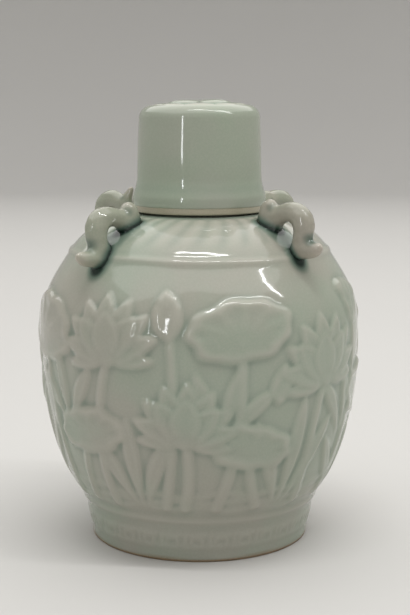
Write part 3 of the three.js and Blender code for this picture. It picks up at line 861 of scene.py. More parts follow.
@dataclass
class Borders:
    """The plain turned and moulded borders: ripples, raised lines, flutes and a fret.

    Attributes:
        line_height: height of the raised lines at the foot and the shoulder.
        line_half: half their width.
        flutes: number of swirled flutes on the shoulder.
        flute_height: how high their ridges stand.
        swirl: how far a flute turns on its way to the lid, in degrees.
        ripples: number of ripples low on the belly.
        first_ripple: run of the lowest one.
        ripple_pitch: distance between them.
        ripple_height: their height.
        ripple_width: their width.
        band_radius: radius of the foot band at the fret.
        fret_run: run of the fret's middle.
        fret_keys: number of keys round the foot band.
        fret_height: height of the fret.
        fret_half: half the width of its lines.
    """

    line_height: float = 0.6
    line_half: float = 1.1
    flutes: int = 32
    flute_height: float = 0.17
    swirl: float = 12.5
    ripples: int = 3
    first_ripple: float = 5.2
    ripple_pitch: float = 2.9
    ripple_height: float = 0.3
    ripple_width: float = 0.95
    band_radius: float = 37.0
    fret_run: float = -7.3
    fret_keys: int = 30
    fret_height: float = 0.44
    fret_half: float = 0.42

    # The two lines of a key: shares of its width across, and millimetres up.
    HOOK = ((-0.5, -2.1), (0.34, -2.1), (0.34, 1.0), (-0.1, 1.0), (-0.1, -0.6))
    HEAD = ((-0.34, -0.9), (-0.34, 2.1), (0.5, 2.1))

    FOOT_WANDER = 0.25  # how much the foot line wanders, as a share of the shoulder line's
    WANDER = (Wave(0.25, 4, 0.7), Wave(0.1, 9))
    # How each ripple wavers: Wave's numbers, the phase for each ripple further up.
    WAVERS = (Wave(0.7, 14, 2.1), Wave(0.35, 5, -1.0))

    def lay_water(self, decoration: Decoration) -> None:
        """Lays the pond's ripples, as soft wavering ridges above the foot line.

        Args:
            decoration: the decoration that they are laid in.
        """
        run, bearing = decoration.axes()
        for row in range(self.ripples):
            waver = swell([replace(wave, phase=wave.phase * row) for wave in self.WAVERS], bearing)
            off = run - self.first_ripple - self.ripple_pitch * row - waver
            decoration.height += self.ripple_height * hump(off, self.ripple_width)

    def lay_lines(self, decoration: Decoration) -> None:
        """Lays the raised lines, each as even as it was turned.

        Args:
            decoration: the decoration that they are laid in.
        """
        run, bearing = decoration.axes()
        wander = swell(self.WANDER, bearing)
        lines = ((0.0, self.FOOT_WANDER), (decoration.wall.shoulder_run, 1.0))
        for place, share in lines:
            off = (run - place - wander * share) / self.line_half
            decoration.height += self.line_height * np.clip(1 - off**2, 0, 1) ** 0.8

    def lay_flutes(self, decoration: Decoration) -> None:
        """Lays the swirled flutes between the shoulder's line and the lid.

        Args:
            decoration: the decoration that they are laid in.
        """
        run, bearing = decoration.axes()
        wall = decoration.wall
        climb = np.clip((run - wall.shoulder_run) / (wall.run[-1] - wall.shoulder_run), 0, 1)
        turn = bearing - math.radians(self.swirl) * climb**0.85
        ridge = 0.5 + 0.5 * np.cos(turn * self.flutes + 0.4 * np.sin(3 * bearing))
        inside = ramp(0.12, 0.36, climb) * ramp(0.99, 0.9, climb)
        decoration.height += self.flute_height * (ridge - 0.4) * inside
        decoration.tone += (ridge - 0.5) * inside

    def lay_fret(self, decoration: Decoration) -> None:
        """Lays the key fret round the foot band.

        Args:
            decoration: the decoration that it is laid in.
        """
        width = TURN * self.band_radius / self.fret_keys
        lines = [np.array(line) * (width, 1.0) for line in (self.HOOK, self.HEAD)]
        for k in range(self.fret_keys):
            patch = decoration.patch(k * 360.0 / self.fret_keys, self.fret_run, width)
            distance = np.minimum(*(stroke(patch, line, self.fret_half) for line in lines))
            key = self.fret_height * ramp(0.4, -0.4, distance)
            decoration.height[patch.cells] = np.maximum(decoration.height[patch.cells], key)


# ---- meshes


def settle(parts: bmesh.types.BMVertSeq | bmesh.types.BMFaceSeq, middles: list[Vector]) -> None:
    """Puts a mesh's vertices or faces in the order of their places, as spin keeps no set order.

    Args:
        parts: the vertices or faces.
        middles: the place of each.
    """
    ranks = np.lexsort(np.array(middles).T).argsort()
    for part, rank in zip(parts, ranks.tolist()):
        part.index = rank
    parts.sort()


def spun(outline: Array, sides: int) -> bmesh.types.BMesh:
    """A closed outline of radius and height turned round the jar's axis.

    Args:
        outline: its points, from one place on the axis to another or round to its start.
        sides: how many steps the turn has.

    Returns:
        The mesh, in metres.
    """
    mesh = bmesh.new()
    verts = [mesh.verts.new((max(r, 0.0) * MM, 0.0, z * MM)) for r, z in outline]
    edges = [mesh.edges.new(pair) for pair in zip(verts, verts[1:])]
    bmesh.ops.spin(mesh, geom=verts + edges, cent=(0, 0, 0), axis=(0, 0, 1), dvec=(0, 0, 0),
                   angle=TURN, steps=sides, use_merge=True, use_duplicate=False)
    bmesh.ops.remove_doubles(mesh, verts=mesh.verts[:], dist=0.0005 * MM)
    bmesh.ops.recalc_face_normals(mesh, faces=mesh.faces[:])
    settle(mesh.verts, [vert.co for vert in mesh.verts])
    settle(mesh.faces, [face.calc_center_median() for face in mesh.faces])
    return mesh


def finished(name: str, mesh: bmesh.types.BMesh) -> bpy.types.Object:
    """A smooth-shaded object from a mesh under construction.

    Args:
        name: the object's name.
        mesh: the mesh, which is freed.

    Returns:
        The object, linked to the scene.
    """
    data = bpy.data.meshes.new(name)
    mesh.to_mesh(data)
    mesh.free()
    data.polygons.foreach_set("use_smooth", np.ones(len(data.polygons), bool))
    piece = bpy.data.objects.new(name, data)
    bpy.context.scene.collection.objects.link(piece)
    return piece


def places(piece: bpy.types.Object) -> Array:
    """The vertices of a piece, in millimetres.

    Args:
        piece: the piece.

    Returns:
        One row for each vertex.
    """
    flat = np.empty(len(piece.data.vertices) * 3)
    piece.data.vertices.foreach_get("co", flat)
    return flat.reshape(-1, 3) / MM


def move_to(piece: bpy.types.Object, where: Array) -> None:
    """Puts the vertices of a piece at places in millimetres."""
    piece.data.vertices.foreach_set("co", (where * MM).ravel())
    piece.data.update()


def outward_of(piece: bpy.types.Object) -> Array:
    """The outward direction at each vertex of a piece.

    Args:
        piece: the piece.

    Returns:
        One row for each vertex.
    """
    flat = np.empty(len(piece.data.vertices) * 3, np.float32)
    piece.data.vertex_normals.foreach_get("vector", flat)
    return flat.reshape(-1, 3).astype(float)


def push_out(place: Array, amount: Array) -> None:
    """Moves places away from the jar's axis."""
    bearing = polar(place)[1]
    place[:, :2] += np.stack([np.cos(bearing), np.sin(bearing)], 1) * amount[:, None]


def mark(piece: bpy.types.Object, name: str, values: Array) -> None:
    """Keeps one value for each vertex of a piece, for its finish to read."""
    layer = piece.data.attributes.new(name, "FLOAT", "POINT")
    layer.data.foreach_set("value", np.clip(values, 0, 1).astype(np.float32))


def dress(piece: bpy.types.Object, body: Body, node: str,
          finish: bpy.types.Material) -> bpy.types.Object:
    """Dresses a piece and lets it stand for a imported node.

    Args:
        piece: the new piece.
        body: the body it rides on.
        node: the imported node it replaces.
        finish: its material.

    Returns:
        The same piece.
    """
    piece.data.materials.append(finish)
    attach(piece, body.value)
    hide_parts(node)
    log.info("%s: %d faces on %s", piece.name, len(piece.data.polygons), body.value)
    return piece


class Neighbours:
    """Which vertices of a piece are joined by edges."""

    def __init__(self, piece: bpy.types.Object) -> None:
        """Reads the edges of a piece.

        Args:
            piece: the piece.
        """
        pairs = np.empty(2 * len(piece.data.edges), np.int64)
        piece.data.edges.foreach_get("vertices", pairs)
        self.first, self.second = pairs.reshape(-1, 2).T
        self.count = len(piece.data.vertices)
        ends = np.concatenate([self.first, self.second])
        self.degree = np.maximum(np.bincount(ends, minlength=self.count), 1)[:, None]

    def relaxed(self, values: Array, rounds: int, share: float) -> Array:
        """Values drawn towards the mean of their neighbours.

        Args:
            values: one row for each vertex.
            rounds: how many times.
            share: how far towards the mean, each time.

        Returns:
            The new values.
        """
        for _ in range(rounds):
            total = np.stack([
                np.bincount(self.first, column[self.second], self.count)
                + np.bincount(self.second, column[self.first], self.count)
                for column in values.T
            ], 1)
            values = values + share * (total / self.degree - values)
        return values


# ---- handles


@dataclass
class Coil:
    """A loop handle: a tapered roll of clay, bent with both its ends turned up.

    Attributes:
        node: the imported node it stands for.
        bearing: degrees from +X.
        bends: radius, height and half thickness along the roll, from its inner tip.
        hollows: radius, height, reach and depth of colour of the glaze-filled hollows beside the
            curl and the spur.
        sway: how far its arch leans sideways.
        melt: how far stretches of the roll that lie close together flow into each other.
        spread: how far the roll spreads where it is luted to the wall.
        spread_reach: how high above the wall that starts.
        slack: how much too wide its skin is made.
        voxel: fineness of that skin.
        rounds: how often the skin is drawn onto the form.
    """

    node: str
    bearing: float
    bends: tuple[tuple[float, float, float], ...]
    hollows: tuple[tuple[float, float, float, float], ...]
    sway: float = 0.0
    melt: float = 1.05
    spread: float = 1.5
    spread_reach: float = 3.8
    slack: float = 0.35
    voxel: float = 0.3
    rounds: int = 7

    KNOT_STEPS = 24
    SAMPLES = 120  # along the centreline
    SIDES = 24
    THINNEST = 0.3
    SLOPE_STEP = 0.02  # over which the form's slope is measured
    PULL = 0.7  # the most that the skin is drawn in one round
    WOBBLE = 0.25  # how far the coil strays from its plane
    DENTS = 0.05  # height of the finger marks along it
    TIP_TONE = 0.4  # how strongly the clay shows at its ends
    UNDER_TONE = 0.35  # and underneath
    RIDGE_TONE = 0.15  # and on its ridges

    def __post_init__(self) -> None:
        """Works out the centreline and its thickness."""
        dense = threaded(np.array(self.bends, float), self.KNOT_STEPS)
        along = lengths(dense[:, :2])
        self.length = float(along[-1])
        wanted = np.linspace(0, self.length, self.SAMPLES)
        self.share = wanted / self.length
        radius, height, thick = between(wanted, along, dense).T
        turn = math.radians(self.bearing)
        radial = (math.cos(turn), math.sin(turn), 0.0)
        self.aside = np.array([-math.sin(turn), math.cos(turn), 0.0])
        lean = self.sway * np.sin(math.pi * self.share)
        lean += self.WOBBLE * np.sin(9 * self.share + self.bearing)
        self.centre = np.outer(radius, radial) + np.outer(lean, self.aside)
        self.centre[:, 2] += height
        self.thick = np.maximum(thick, self.THINNEST)
        step = self.length / (self.SAMPLES - 1)
        self.weight = step / np.sqrt(TURN * self.melt * self.thick)

    def form(self, points: Array) -> Array:
        """Signed distances to the roll, with its creases filled by the glaze.

        Args:
            points: the points.

        Returns:
            The distances, negative inside.
        """
        def melted(part: Array) -> Array:
            """The same for one block of the points."""
            squared = (part**2).sum(1)[:, None] - 2 * part @ self.centre.T
            squared += (self.centre**2).sum(1)
            gaps = np.sqrt(np.maximum(squared, 0)) - self.thick
            nearest = gaps.min(1)
            total = (self.weight * np.exp((nearest[:, None] - gaps) / self.melt)).sum(1)
            return nearest - self.melt * np.log(total)

        return in_blocks(melted, points)

    def form_and_slope(self, points: Array) -> tuple[Array, Array]:
        """Signed distances to the roll, and the directions in which they grow.

        Args:
            points: the points.

        Returns:
            The distances, and one direction for each point.
        """
        value = self.form(points)
        steps = [self.form(points + self.SLOPE_STEP * axis) - value for axis in np.eye(3)]
        slope = np.stack(steps, 1) / self.SLOPE_STEP
        return value, slope / np.maximum(np.linalg.norm(slope, axis=1), 0.2)[:, None]

    def fill(self, gap: Array) -> Array:
        """How strongly roll and wall flow together, from 0 to 1, by the gap between them."""
        return np.clip(1 - np.maximum(gap, 0) / self.spread_reach, 0, 1)

    def skin(self) -> bpy.types.Object:
        """A closed even skin round the bent roll, a little too wide everywhere.

        Returns:
            The skin, under the finished handle's name.
        """
        outline = joined([
            [(0.0, -self.slack)],
            np.stack([self.thick + self.slack, self.share * self.length], 1),
            [(0.0, self.length + self.slack)],
        ])
        roll = finished(f"{self.node}_roll", spun(outline, self.SIDES))
        x, y, z = (column[:, None] for column in places(roll).T)
        share = np.clip(z[:, 0] / self.length, 0, 1)
        along = between(share, self.share, np.gradient(self.centre, axis=0))
        along /= np.linalg.norm(along, axis=1)[:, None]
        normal = np.cross(self.aside[None, :], along)
        normal /= np.linalg.norm(normal, axis=1)[:, None]
        past = z - share[:, None] * self.length
        centre = between(share, self.share, self.centre)
        move_to(roll, centre + x * normal + y * np.cross(along, normal) + past * along)
        remesh = roll.modifiers.new("skin", "REMESH")
        remesh.mode = "VOXEL"
        remesh.voxel_size = self.voxel * MM
        mesh = bmesh.new()
        mesh.from_object(roll, bpy.context.evaluated_depsgraph_get())
        bpy.data.objects.remove(roll)
        return finished(f"{self.node}_coil", mesh)

    def glaze(self, piece: bpy.types.Object, slope: Array, gap: Array, bulge: Array) -> None:
        """Marks where the handle's glaze gathers, darkened as painted shade where it meets the
        wall, and where it runs thin.

        Args:
            piece: the handle.
            slope: the outward direction at each vertex.
            gap: its height over the wall.
            bulge: how far it stands out from its neighbours.
        """
        place = places(piece)
        radius = polar(place)[0]
        web = np.zeros(len(place))
        for hollow_radius, hollow_z, reach, depth in self.hollows:
            away = np.hypot(radius - hollow_radius, place[:, 2] - hollow_z)
            web = np.maximum(web, depth * ramp(reach, 0.1 * reach, away))
        tips = np.minimum(*(np.linalg.norm(place - self.centre[end], axis=1) for end in (0, -1)))
        under = np.clip(-slope[:, 2], 0, 1)
        ridge = np.clip(bulge / 0.3, 0, 1)
        thin = self.TIP_TONE * ramp(5.0, 0.8, tips)
        thin += self.UNDER_TONE * under + self.RIDGE_TONE * ridge
        # Near the wall the pool runs to the deep colour: gathered glaze, and painted shade at the
        # feet.
        mark(piece, "pool", np.maximum(web, 1.2 * self.fill(gap - 0.4) ** 1.3))
        mark(piece, "thin", thin * (1 - np.minimum(1, 1.5 * web)))
        mark(piece, "bare", np.zeros(len(place)))

    def build(self, wall: Wall, finish: bpy.types.Material) -> bpy.types.Object:
        """Builds the handle.

        Args:
            wall: the wall that carries it.
            finish: its glaze.

        Returns:
            The finished piece.
        """
        piece = self.skin()
        place = places(piece)
        ring = Neighbours(piece)
        for left in reversed(range(self.rounds)):
            grown = self.spread * self.fill(wall.gap(place)) ** 2
            value, slope = self.form_and_slope(place)
            place = place - slope * np.clip(value - grown, -self.PULL, self.PULL)[:, None]
            place = ring.relaxed(place, 1, 0.5 if left else 0.4)
        gap = wall.gap(place)
        angle = place @ self.aside
        dents = self.DENTS * np.sin(place[:, 2] * 1.9 + self.bearing) * np.cos(angle)
        dents += 0.8 * self.DENTS * np.sin(3 * angle)
        place = place + slope * dents[:, None]
        move_to(piece, place)
        bulge = -((ring.relaxed(place, 14, 0.6) - place) * slope).sum(1)
        self.glaze(piece, slope, gap, bulge)
        return dress(piece, Body.JAR, self.node, finish)


HANDLES = (
    Coil("handle_right", 0.0, (
        (32.2, 110.9, 1.4), (30.7, 110.9, 2.0), (29.6, 109.2, 2.3), (29.7, 107.0, 2.6),
        (31.9, 105.7, 2.8), (34.8, 107.7, 2.6), (39.0, 109.4, 2.8), (43.6, 108.3, 3.2),
        (45.3, 105.0, 3.1), (44.4, 102.3, 2.75), (43.4, 100.0, 2.45), (43.8, 97.9, 2.4),
        (46.3, 97.6, 2.5), (49.0, 98.1, 2.1), (51.4, 99.1, 1.2),
    ), hollows=((32.8, 110.2, 2.8, 0.34), (48.4, 101.3, 3.4, 0.58)), sway=0.3),
    Coil("handle_rear", 93.0, (
        (34.4, 110.3, 1.6), (32.8, 110.5, 2.1), (31.2, 108.9, 2.4), (30.9, 106.8, 2.5),
        (32.4, 106.3, 2.5), (34.6, 108.2, 2.5), (38.8, 109.4, 2.8), (43.4, 108.6, 3.2),
        (45.4, 105.4, 3.1), (44.4, 102.2, 2.3), (43.7, 99.8, 2.1), (44.6, 97.4, 2.3),
        (47.2, 96.8, 2.6), (49.8, 97.8, 2.4), (52.0, 99.0, 1.6),
    ), hollows=((34.2, 109.2, 1.8, 0.3), (47.6, 100.6, 3.2, 0.5)), sway=-0.4),
    Coil("handle_left", 182.0, (
        (31.7, 113.6, 0.6), (32.3, 112.1, 0.85), (33.6, 110.4, 0.85), (34.3, 108.3, 1.4),
        (33.4, 106.4, 2.2), (35.6, 107.3, 2.2), (39.8, 109.5, 2.8), (44.0, 108.4, 3.2),
        (46.0, 105.2, 3.1), (44.6, 102.0, 2.5), (43.7, 99.6, 2.3), (44.4, 97.1, 2.3),
        (46.9, 96.5, 2.5), (49.5, 97.5, 2.3), (51.6, 99.0, 1.6),
    ), hollows=((34.2, 110.0, 1.8, 0.3), (47.4, 100.4, 3.2, 0.5)), sway=0.5),
    Coil("handle_front", 270.0, (
        (32.5, 110.1, 1.5), (31.2, 110.1, 2.1), (30.0, 108.6, 2.3), (30.0, 106.6, 2.4),
        (31.9, 105.7, 2.4), (34.8, 106.6, 2.3), (39.2, 107.9, 2.8), (42.9, 107.0, 3.3),
        (44.4, 103.6, 3.4), (43.9, 100.8, 3.0), (43.2, 98.4, 2.6), (43.8, 96.1, 2.3),
        (46.3, 95.2, 2.4), (49.2, 95.4, 2.1), (52.0, 96.3, 1.5),
    ), hollows=((33.0, 109.0, 2.8, 0.36), (48.0, 99.6, 3.6, 0.58)), sway=-0.3),
)


# ---- the body


@dataclass
class JarBody:
    """The thrown and moulded body: foot, belly, shoulder, neck and the hollow inside.

    Attributes:
        wall: its bare outer wall.
        sides: steps round it.
        fine: distance between rows on the decorated wall.
        foot_ring: inner and outer radius of the ring it stands on.
        recess: how far the underside lies above the table.
        neck: radius of the neck.
        bore: radius of its bore.
        mouth: height of the mouth.
        lip: how far the lip stands out.
        lip_height: the lip's height.
        thickness: of the wall.
        floor: height of the floor inside.
        handles_from: height above which the handles reach the wall.
        loop_radius: radius inside which their loops shade it.
        lid_radius: radius inside which the lid hides it.
    """

    wall: Wall = field(default_factory=Wall)
    sides: int = 432
    fine: float = 0.7
    foot_ring: Point = (31.5, 36.0)
    recess: float = 2.0
    neck: float = 15.5
    bore: float = 12.0
    mouth: float = MOUTH_HEIGHT
    lip: float = 1.1
    lip_height: float = 3.6
    thickness: float = 4.0
    floor: float = 7.0
    handles_from: float = 85.0
    loop_radius: float = 40.0
    lid_radius: float = 21.8

    WAVES = (Wave(0.1, 2, 0.6), Wave(0.06, 3, climb=17.0))
    FOOT_WAVE = Wave(0.15, 7)  # of the glaze's edge at the foot ring
    BELOW = 2.2  # how far below a handle the gathered glaze and painted shadow reach
    ARCHES = (4.0, 6.0)  # how far below its arch the wall lies in its shade
    SHADE = 0.62  # how strong that shade is
    GATHER_AND_SHADOW = 1.1  # how dark the wall grows at a handle: gathered glaze, and painted shadow below it
    LID_RING_DARKENING = 0.45  # how much darker the wall is under the lid's rim and just outside it

    def underside(self) -> Array:
        """The outline from the middle of the underside round the foot ring.

        Returns:
            Its points.
        """
        inner, outer = self.foot_ring
        top = self.recess
        return joined([
            [(0.0, top), (inner - 1.2, top)],
            bezier([(inner - 1.2, top), (inner - 0.5, top), (inner - 0.35, 0.9)], 4),
            bezier([(inner - 0.2, 0.4), (inner, 0.0), (inner + 0.5, 0.0)], 3),
            bezier([(outer - 0.7, 0.0), (outer - 0.1, 0.0), (outer, 0.5)], 4),
        ])

    def neck_and_lip(self) -> Array:
        """The outline from the neck's root over the lip into the bore.

        Returns:
            Its points.
        """
        root = self.wall.top + 0.7
        low, top = self.mouth - self.lip_height, self.mouth
        neck, swell, bore = self.neck, self.neck + self.lip, self.bore
        return joined([
            bezier([(neck + 2.6, root), (neck, root + 0.1), (neck, root + 2.8)], 5),
            bezier([(neck, low - 0.6), (neck, low), (swell, low), (swell, low + 1.2)], 5),
            bezier([(swell, top - 1.2), (swell, top), (neck + 0.1, top)], 5),
            bezier([(bore + 0.9, top), (bore, top), (bore, top - 0.9)], 4),
        ])

    def inside(self) -> Array:
        """The outline from the throat down inside the wall to the middle of the floor.

        Returns:
            Its points.
        """
        runs = np.linspace(self.wall.run[-1] - 1.0, 0.0, 9)
        line = self.wall.at_run(runs) - self.thickness * self.wall.out_at(runs)
        line = line[line[:, 1] > self.floor + 9.0]
        (_, shoulder), (side, _) = line[0], line[-1]
        return joined([
            bezier([(self.bore, shoulder + 3.0), (self.bore, shoulder + 0.4), line[0]], 4),
            line[1:],
            bezier([line[-1], (side - 4.5, self.floor), (side - 13, self.floor)], 4)[1:],
            [(0.0, self.floor)],
        ])

    def outline(self) -> Array:
        """The body's outline, from the middle of its underside round to its floor."""
        outside = respaced(self.wall.line, self.fine)[1:]
        return joined([self.underside(), outside, self.neck_and_lip(), self.inside()])

    def meet(self, coils: Sequence[Coil], place: Array, height: Array,
             pool: Array) -> tuple[Array, Array, Array]:
        """Fills the corners where the wall meets the handles, and paints shade and shadow there.

        Args:
            coils: the handles.
            place: places on the wall near them.
            height: height of the decoration there.
            pool: how much glaze gathers there.

        Returns:
            How far the fill covers the decoration, the new height, and the pool with painted shade
            and shadow.
        """
        cover = np.zeros(len(place))
        in_loops = ramp(self.loop_radius + 2.5, self.loop_radius, polar(place)[0])
        for coil in coils:
            gap, below, arch, high_arch = (
                coil.form(place + (0.0, 0.0, rise)) for rise in (0.0, self.BELOW, *self.ARCHES)
            )
            fill = coil.fill(gap)
            cover = np.maximum(cover, fill)
            height = height * (1 - fill) + 0.7 * coil.spread * fill**2
            # Gathered glaze round the handle's feet, with painted shadow below the handle.
            gathered_glaze_and_shadow = self.GATHER_AND_SHADOW * ramp(4.8, 0.3, np.minimum(gap, below + 0.9)) ** 1.3
            # Painted shade on the wall under each loop's arch.
            shade = self.SHADE * ramp(3.6, 0.6, np.minimum(arch, high_arch)) * in_loops
            pool = np.maximum(pool, np.maximum(gathered_glaze_and_shadow, shade))
        return cover, height, pool

    def build(self, decoration: Decoration, coils: Sequence[Coil],
              finish: bpy.types.Material) -> bpy.types.Object:
        """Builds the body, raises its decoration and fills the corners at the handles.

        Args:
            decoration: the settled decoration.
            coils: the handles it carries.
            finish: its glaze.

        Returns:
            The finished piece.
        """
        piece = finished("jar_body_thrown", spun(self.outline(), self.sides))
        place = places(piece)
        radius, bearing = polar(place)
        run = self.wall.run_of_height(place[:, 2])
        on_wall = np.abs(self.wall.at_run(run)[:, 0] - radius) < 0.2
        on_wall &= (place[:, 2] > 0.4) & (place[:, 2] < self.wall.top + 0.01)
        height, pool, thin = (
            np.where(on_wall, decoration.sample(grid, run, np.degrees(bearing)), 0.0)
            for grid in (decoration.height, decoration.pool, decoration.thin)
        )
        cover = np.zeros(len(place))
        high = on_wall & (place[:, 2] > self.handles_from)
        cover[high], height[high], pool[high] = self.meet(
            coils, place[high], height[high], pool[high]
        )
        wavy = swell(self.WAVES, bearing, place[:, 2]) * ramp(0.5, 12.0, place[:, 2])
        shift = np.where(on_wall, height + wavy, 0.0)
        out = self.wall.out_at(run) * shift[:, None]
        push_out(place, out[:, 0])
        place[:, 2] += out[:, 1]
        move_to(piece, place)
        under_lid = ramp(self.lid_radius + 2.7, self.lid_radius, radius) * on_wall
        # The pool mark holds gathered glaze, and also painted shade under the loops, painted shadow
        # below the handles and the darker ring at the lid's rim.
        mark(piece, "pool", np.maximum(pool, self.LID_RING_DARKENING * under_lid))
        mark(piece, "thin", thin * (1 - cover))
        foot = ramp(1.3, 0.7, place[:, 2] + self.FOOT_WAVE.at(bearing))
        mark(piece, "bare", foot * (radius > self.foot_ring[0] - 0.9))
        return dress(piece, Body.JAR, "jar_body", finish)


# ---- lid and cork


@dataclass
class BellLid:
    """The bell lid: a tall round cover with a flared, unglazed rim and a rosette on its top.

    Attributes:
        rim_z: height of its rim.
        rim: outer radius at the rim.
        side: outer radius of its side.
        bore: inner radius.
        rim_bore: inner radius at the rim.
        top: height of its raised edge.
        ceiling: height of its inside.
        corner: rounding between side and top.
        flare: from the rim up to the crease.
        band: height of the rim's upright band.
        bare_band: height of the unglazed clay at the rim.
        bare_inside: height of the unglazed clay inside it.
        glaze_step: thickness of the glaze where it ends.
        sunk: how far the ground round the rosette lies below the raised edge.
        tiers: reach, rise, bearing in degrees and number of petals of the rosette's rows.
        furrow: depth of the furrows between the petals.
        rib: depth of the line down each petal.
        dip: depth of the rosette's middle.
        boss: height of the boss in it.
        sag: how far the top leans from its height.
        taper: how much narrower than halfway its side is at the top, and wider at the crease.
        sides: steps round it.
        fine: distance between rows on its top.
    """

    rim_z: float = 107.417
    rim: float = 21.65
    side: float = 19.8
    bore: float = 17.4
    rim_bore: float = 19.25
    top: float = 141.617
    ceiling: float = 138.617
    corner: float = 4.4
    flare: float = 7.0
    band: float = 2.6
    bare_band: float = 2.1
    bare_inside: float = 4.5
    glaze_step: float = 0.16
    sunk: float = 0.6
    tiers: tuple[tuple[float, float, float, int], ...] = ((15.3, 1.4, 45.0, 8), (12.0, 2.3, 0.0, 4))
    furrow: float = 0.55
    rib: float = 0.12
    dip: float = 0.6
    boss: float = 0.4
    sag: float = 0.12
    taper: float = 0.3
    sides: int = 256
    fine: float = 0.28

    WAVES = (Wave(0.05, 2, 1.1), Wave(0.035, 5, climb=9.0), Wave(0.02, 2, climb=2.3))
    CREST_TONE = 0.45  # how strongly the clay shows on the raised edge
    RIDGE_TONE = 0.5  # and on the petals' ridges
    HOLLOW_POOL = 0.7  # how deep the glaze is between the petals
    CREASE_POOL = 0.24  # and in the crease

    def inside(self) -> Array:
        """The outline from the middle of the ceiling down inside to the rim.

        Returns:
            Its points.
        """
        bore, ceiling, crease = self.bore, self.ceiling, self.rim_z + self.flare
        rim, band = self.rim_bore, self.band
        return joined([
            [(0.0, ceiling), (bore - 6, ceiling)],
            bezier([(bore - 1.8, ceiling), (bore, ceiling), (bore, ceiling - 1.8)], 5),
            [(bore, (ceiling + crease) / 2), (bore, crease + band + 1)],
            bezier([(bore, crease + band), (bore, crease), (rim, self.rim_z + band)], 6),
            [(rim, self.rim_z + 0.5)],
            arc((rim + 0.4, self.rim_z + 0.4), 0.4, 180, 270, 4),
        ])

    def outside(self) -> Array:
        """The outline from the rim up outside to the middle of the top.

        Returns:
            Its points.
        """
        rim, side, top, crease = self.rim, self.side, self.top, self.rim_z + self.flare
        bare, edge = rim - self.glaze_step, self.rim_z + self.bare_band
        waist, crest, ground = side + self.taper, side - self.corner + 0.5, top - self.sunk
        return joined([
            arc((bare - 0.5, self.rim_z + 0.5), 0.5, 270, 360, 5),
            [(bare, edge - 0.25), (bare + 0.01, edge - 0.05)],
            bezier([(bare + 0.02, edge), (rim, edge + 0.02), (rim + 0.04, edge + 0.35)], 5),
            bezier([(rim + 0.04, edge + 0.8), (rim + 0.06, crease - 3.2), (rim, crease - 2.3)], 8),
            bezier([(rim - 0.03, crease - 2.0), (rim - 0.2, crease - 0.8),
                    (side + 0.9, crease + 0.6), (waist + 0.25, crease + 3.2)], 12),
            bezier([(waist + 0.2, crease + 4.2), (side + 0.35, (crease + top) / 2),
                    (side - 0.05, top - self.corner - 0.6)], 18),
            arc((side - self.corner - 0.05, top - self.corner), self.corner, 4, 78, 16),
            bezier([(crest + 0.3, top - 0.05), (crest, top), (crest - 0.3, ground)], 6),
            respaced(np.array([(crest - 0.5, ground), (0.0, ground)]), self.fine),
        ])

    def rosette_height(self, radius: Array, bearing: Array) -> Array:
        """Height of the rosette over its ground.

        Args:
            radius: distance from the lid's middle.
            bearing: angle round it, in radians.

        Returns:
            The heights.
        """
        height = np.zeros(len(radius))
        for reach, rise, turn, petals in self.tiers:
            petal = np.abs(np.cos((bearing - math.radians(turn)) * petals / 2))
            share = radius / (reach * (0.84 + 0.16 * petal**0.8))
            body = rise * np.clip(1 - share**5, 0, 1) ** 0.38
            furrow = self.furrow * (1 - petal**0.5)
            furrow *= ramp(0.2, 0.45, share) * ramp(1.0, 0.8, share)
            rib = self.rib * ramp(0.985, 1.0, petal)
            rib *= ramp(0.3, 0.5, share) * ramp(0.95, 0.8, share)
            height = np.maximum(height, body - furrow - rib)
        dip = self.dip * hump(radius, 2.6)
        boss = self.boss * ramp(1.9, 0.6, radius)
        return np.maximum(height - dip + boss, 0.0)

    def glaze(self, piece: bpy.types.Object, radius: Array, outside: Array) -> None:
        """Marks where the lid is bare and where its glaze gathers and runs thin.

        Args:
            piece: the lid.
            radius: radius of each vertex.
            outside: whether it lies on the outside.
        """
        z = places(piece)[:, 2]
        band, inner = self.rim_z + self.bare_band, self.rim_z + self.bare_inside
        bare = ramp(inner, inner - 1, z) * (radius < self.rim_bore + 0.6)
        mark(piece, "bare", np.maximum(ramp(band + 0.12, band - 0.1, z), bare))
        crest = hump(radius - self.side + self.corner + 0.6, 1.0) * (z > self.top - 1)
        level = z[:, None]
        bulge = (level - Neighbours(piece).relaxed(level, 12, 0.6))[:, 0] * (z > self.top - 1.5)
        ridge = self.RIDGE_TONE * np.clip(bulge / 0.12, 0, 1)
        mark(piece, "thin", self.CREST_TONE * crest + ridge)
        hollow = self.HOLLOW_POOL * np.clip(-bulge / 0.14, 0, 1)
        crease = self.CREASE_POOL * hump(z - self.rim_z - self.flare - 0.9, 2.2) * outside
        mark(piece, "pool", np.maximum(hollow, crease))

    def build(self, finish: bpy.types.Material) -> bpy.types.Object:
        """Builds the lid.

        Args:
            finish: its glaze.

        Returns:
            The finished piece.
        """
        piece = finished("lid_bell", spun(joined([self.inside(), self.outside()]), self.sides))
        place = places(piece)
        radius, bearing = polar(place)
        outside = (radius > self.side - 0.6) | (place[:, 2] > self.top - self.corner)
        disc = (place[:, 2] > self.ceiling + 1.5) & (radius < self.tiers[0][0])
        wavy = swell(self.WAVES, bearing, place[:, 2])
        push_out(place, wavy * (outside & (place[:, 2] > self.rim_z + 3)))
        place[:, 2] += np.where(disc, self.rosette_height(radius, bearing), 0.0)
        sag = self.sag * np.cos(bearing - 0.4) * ramp(self.rim_z + 6, self.top, place[:, 2])
        place[:, 2] += sag * (radius < 21)
        move_to(piece, place)
        self.glaze(piece, radius, outside)
        return dress(piece, Body.LID, "lid", finish)


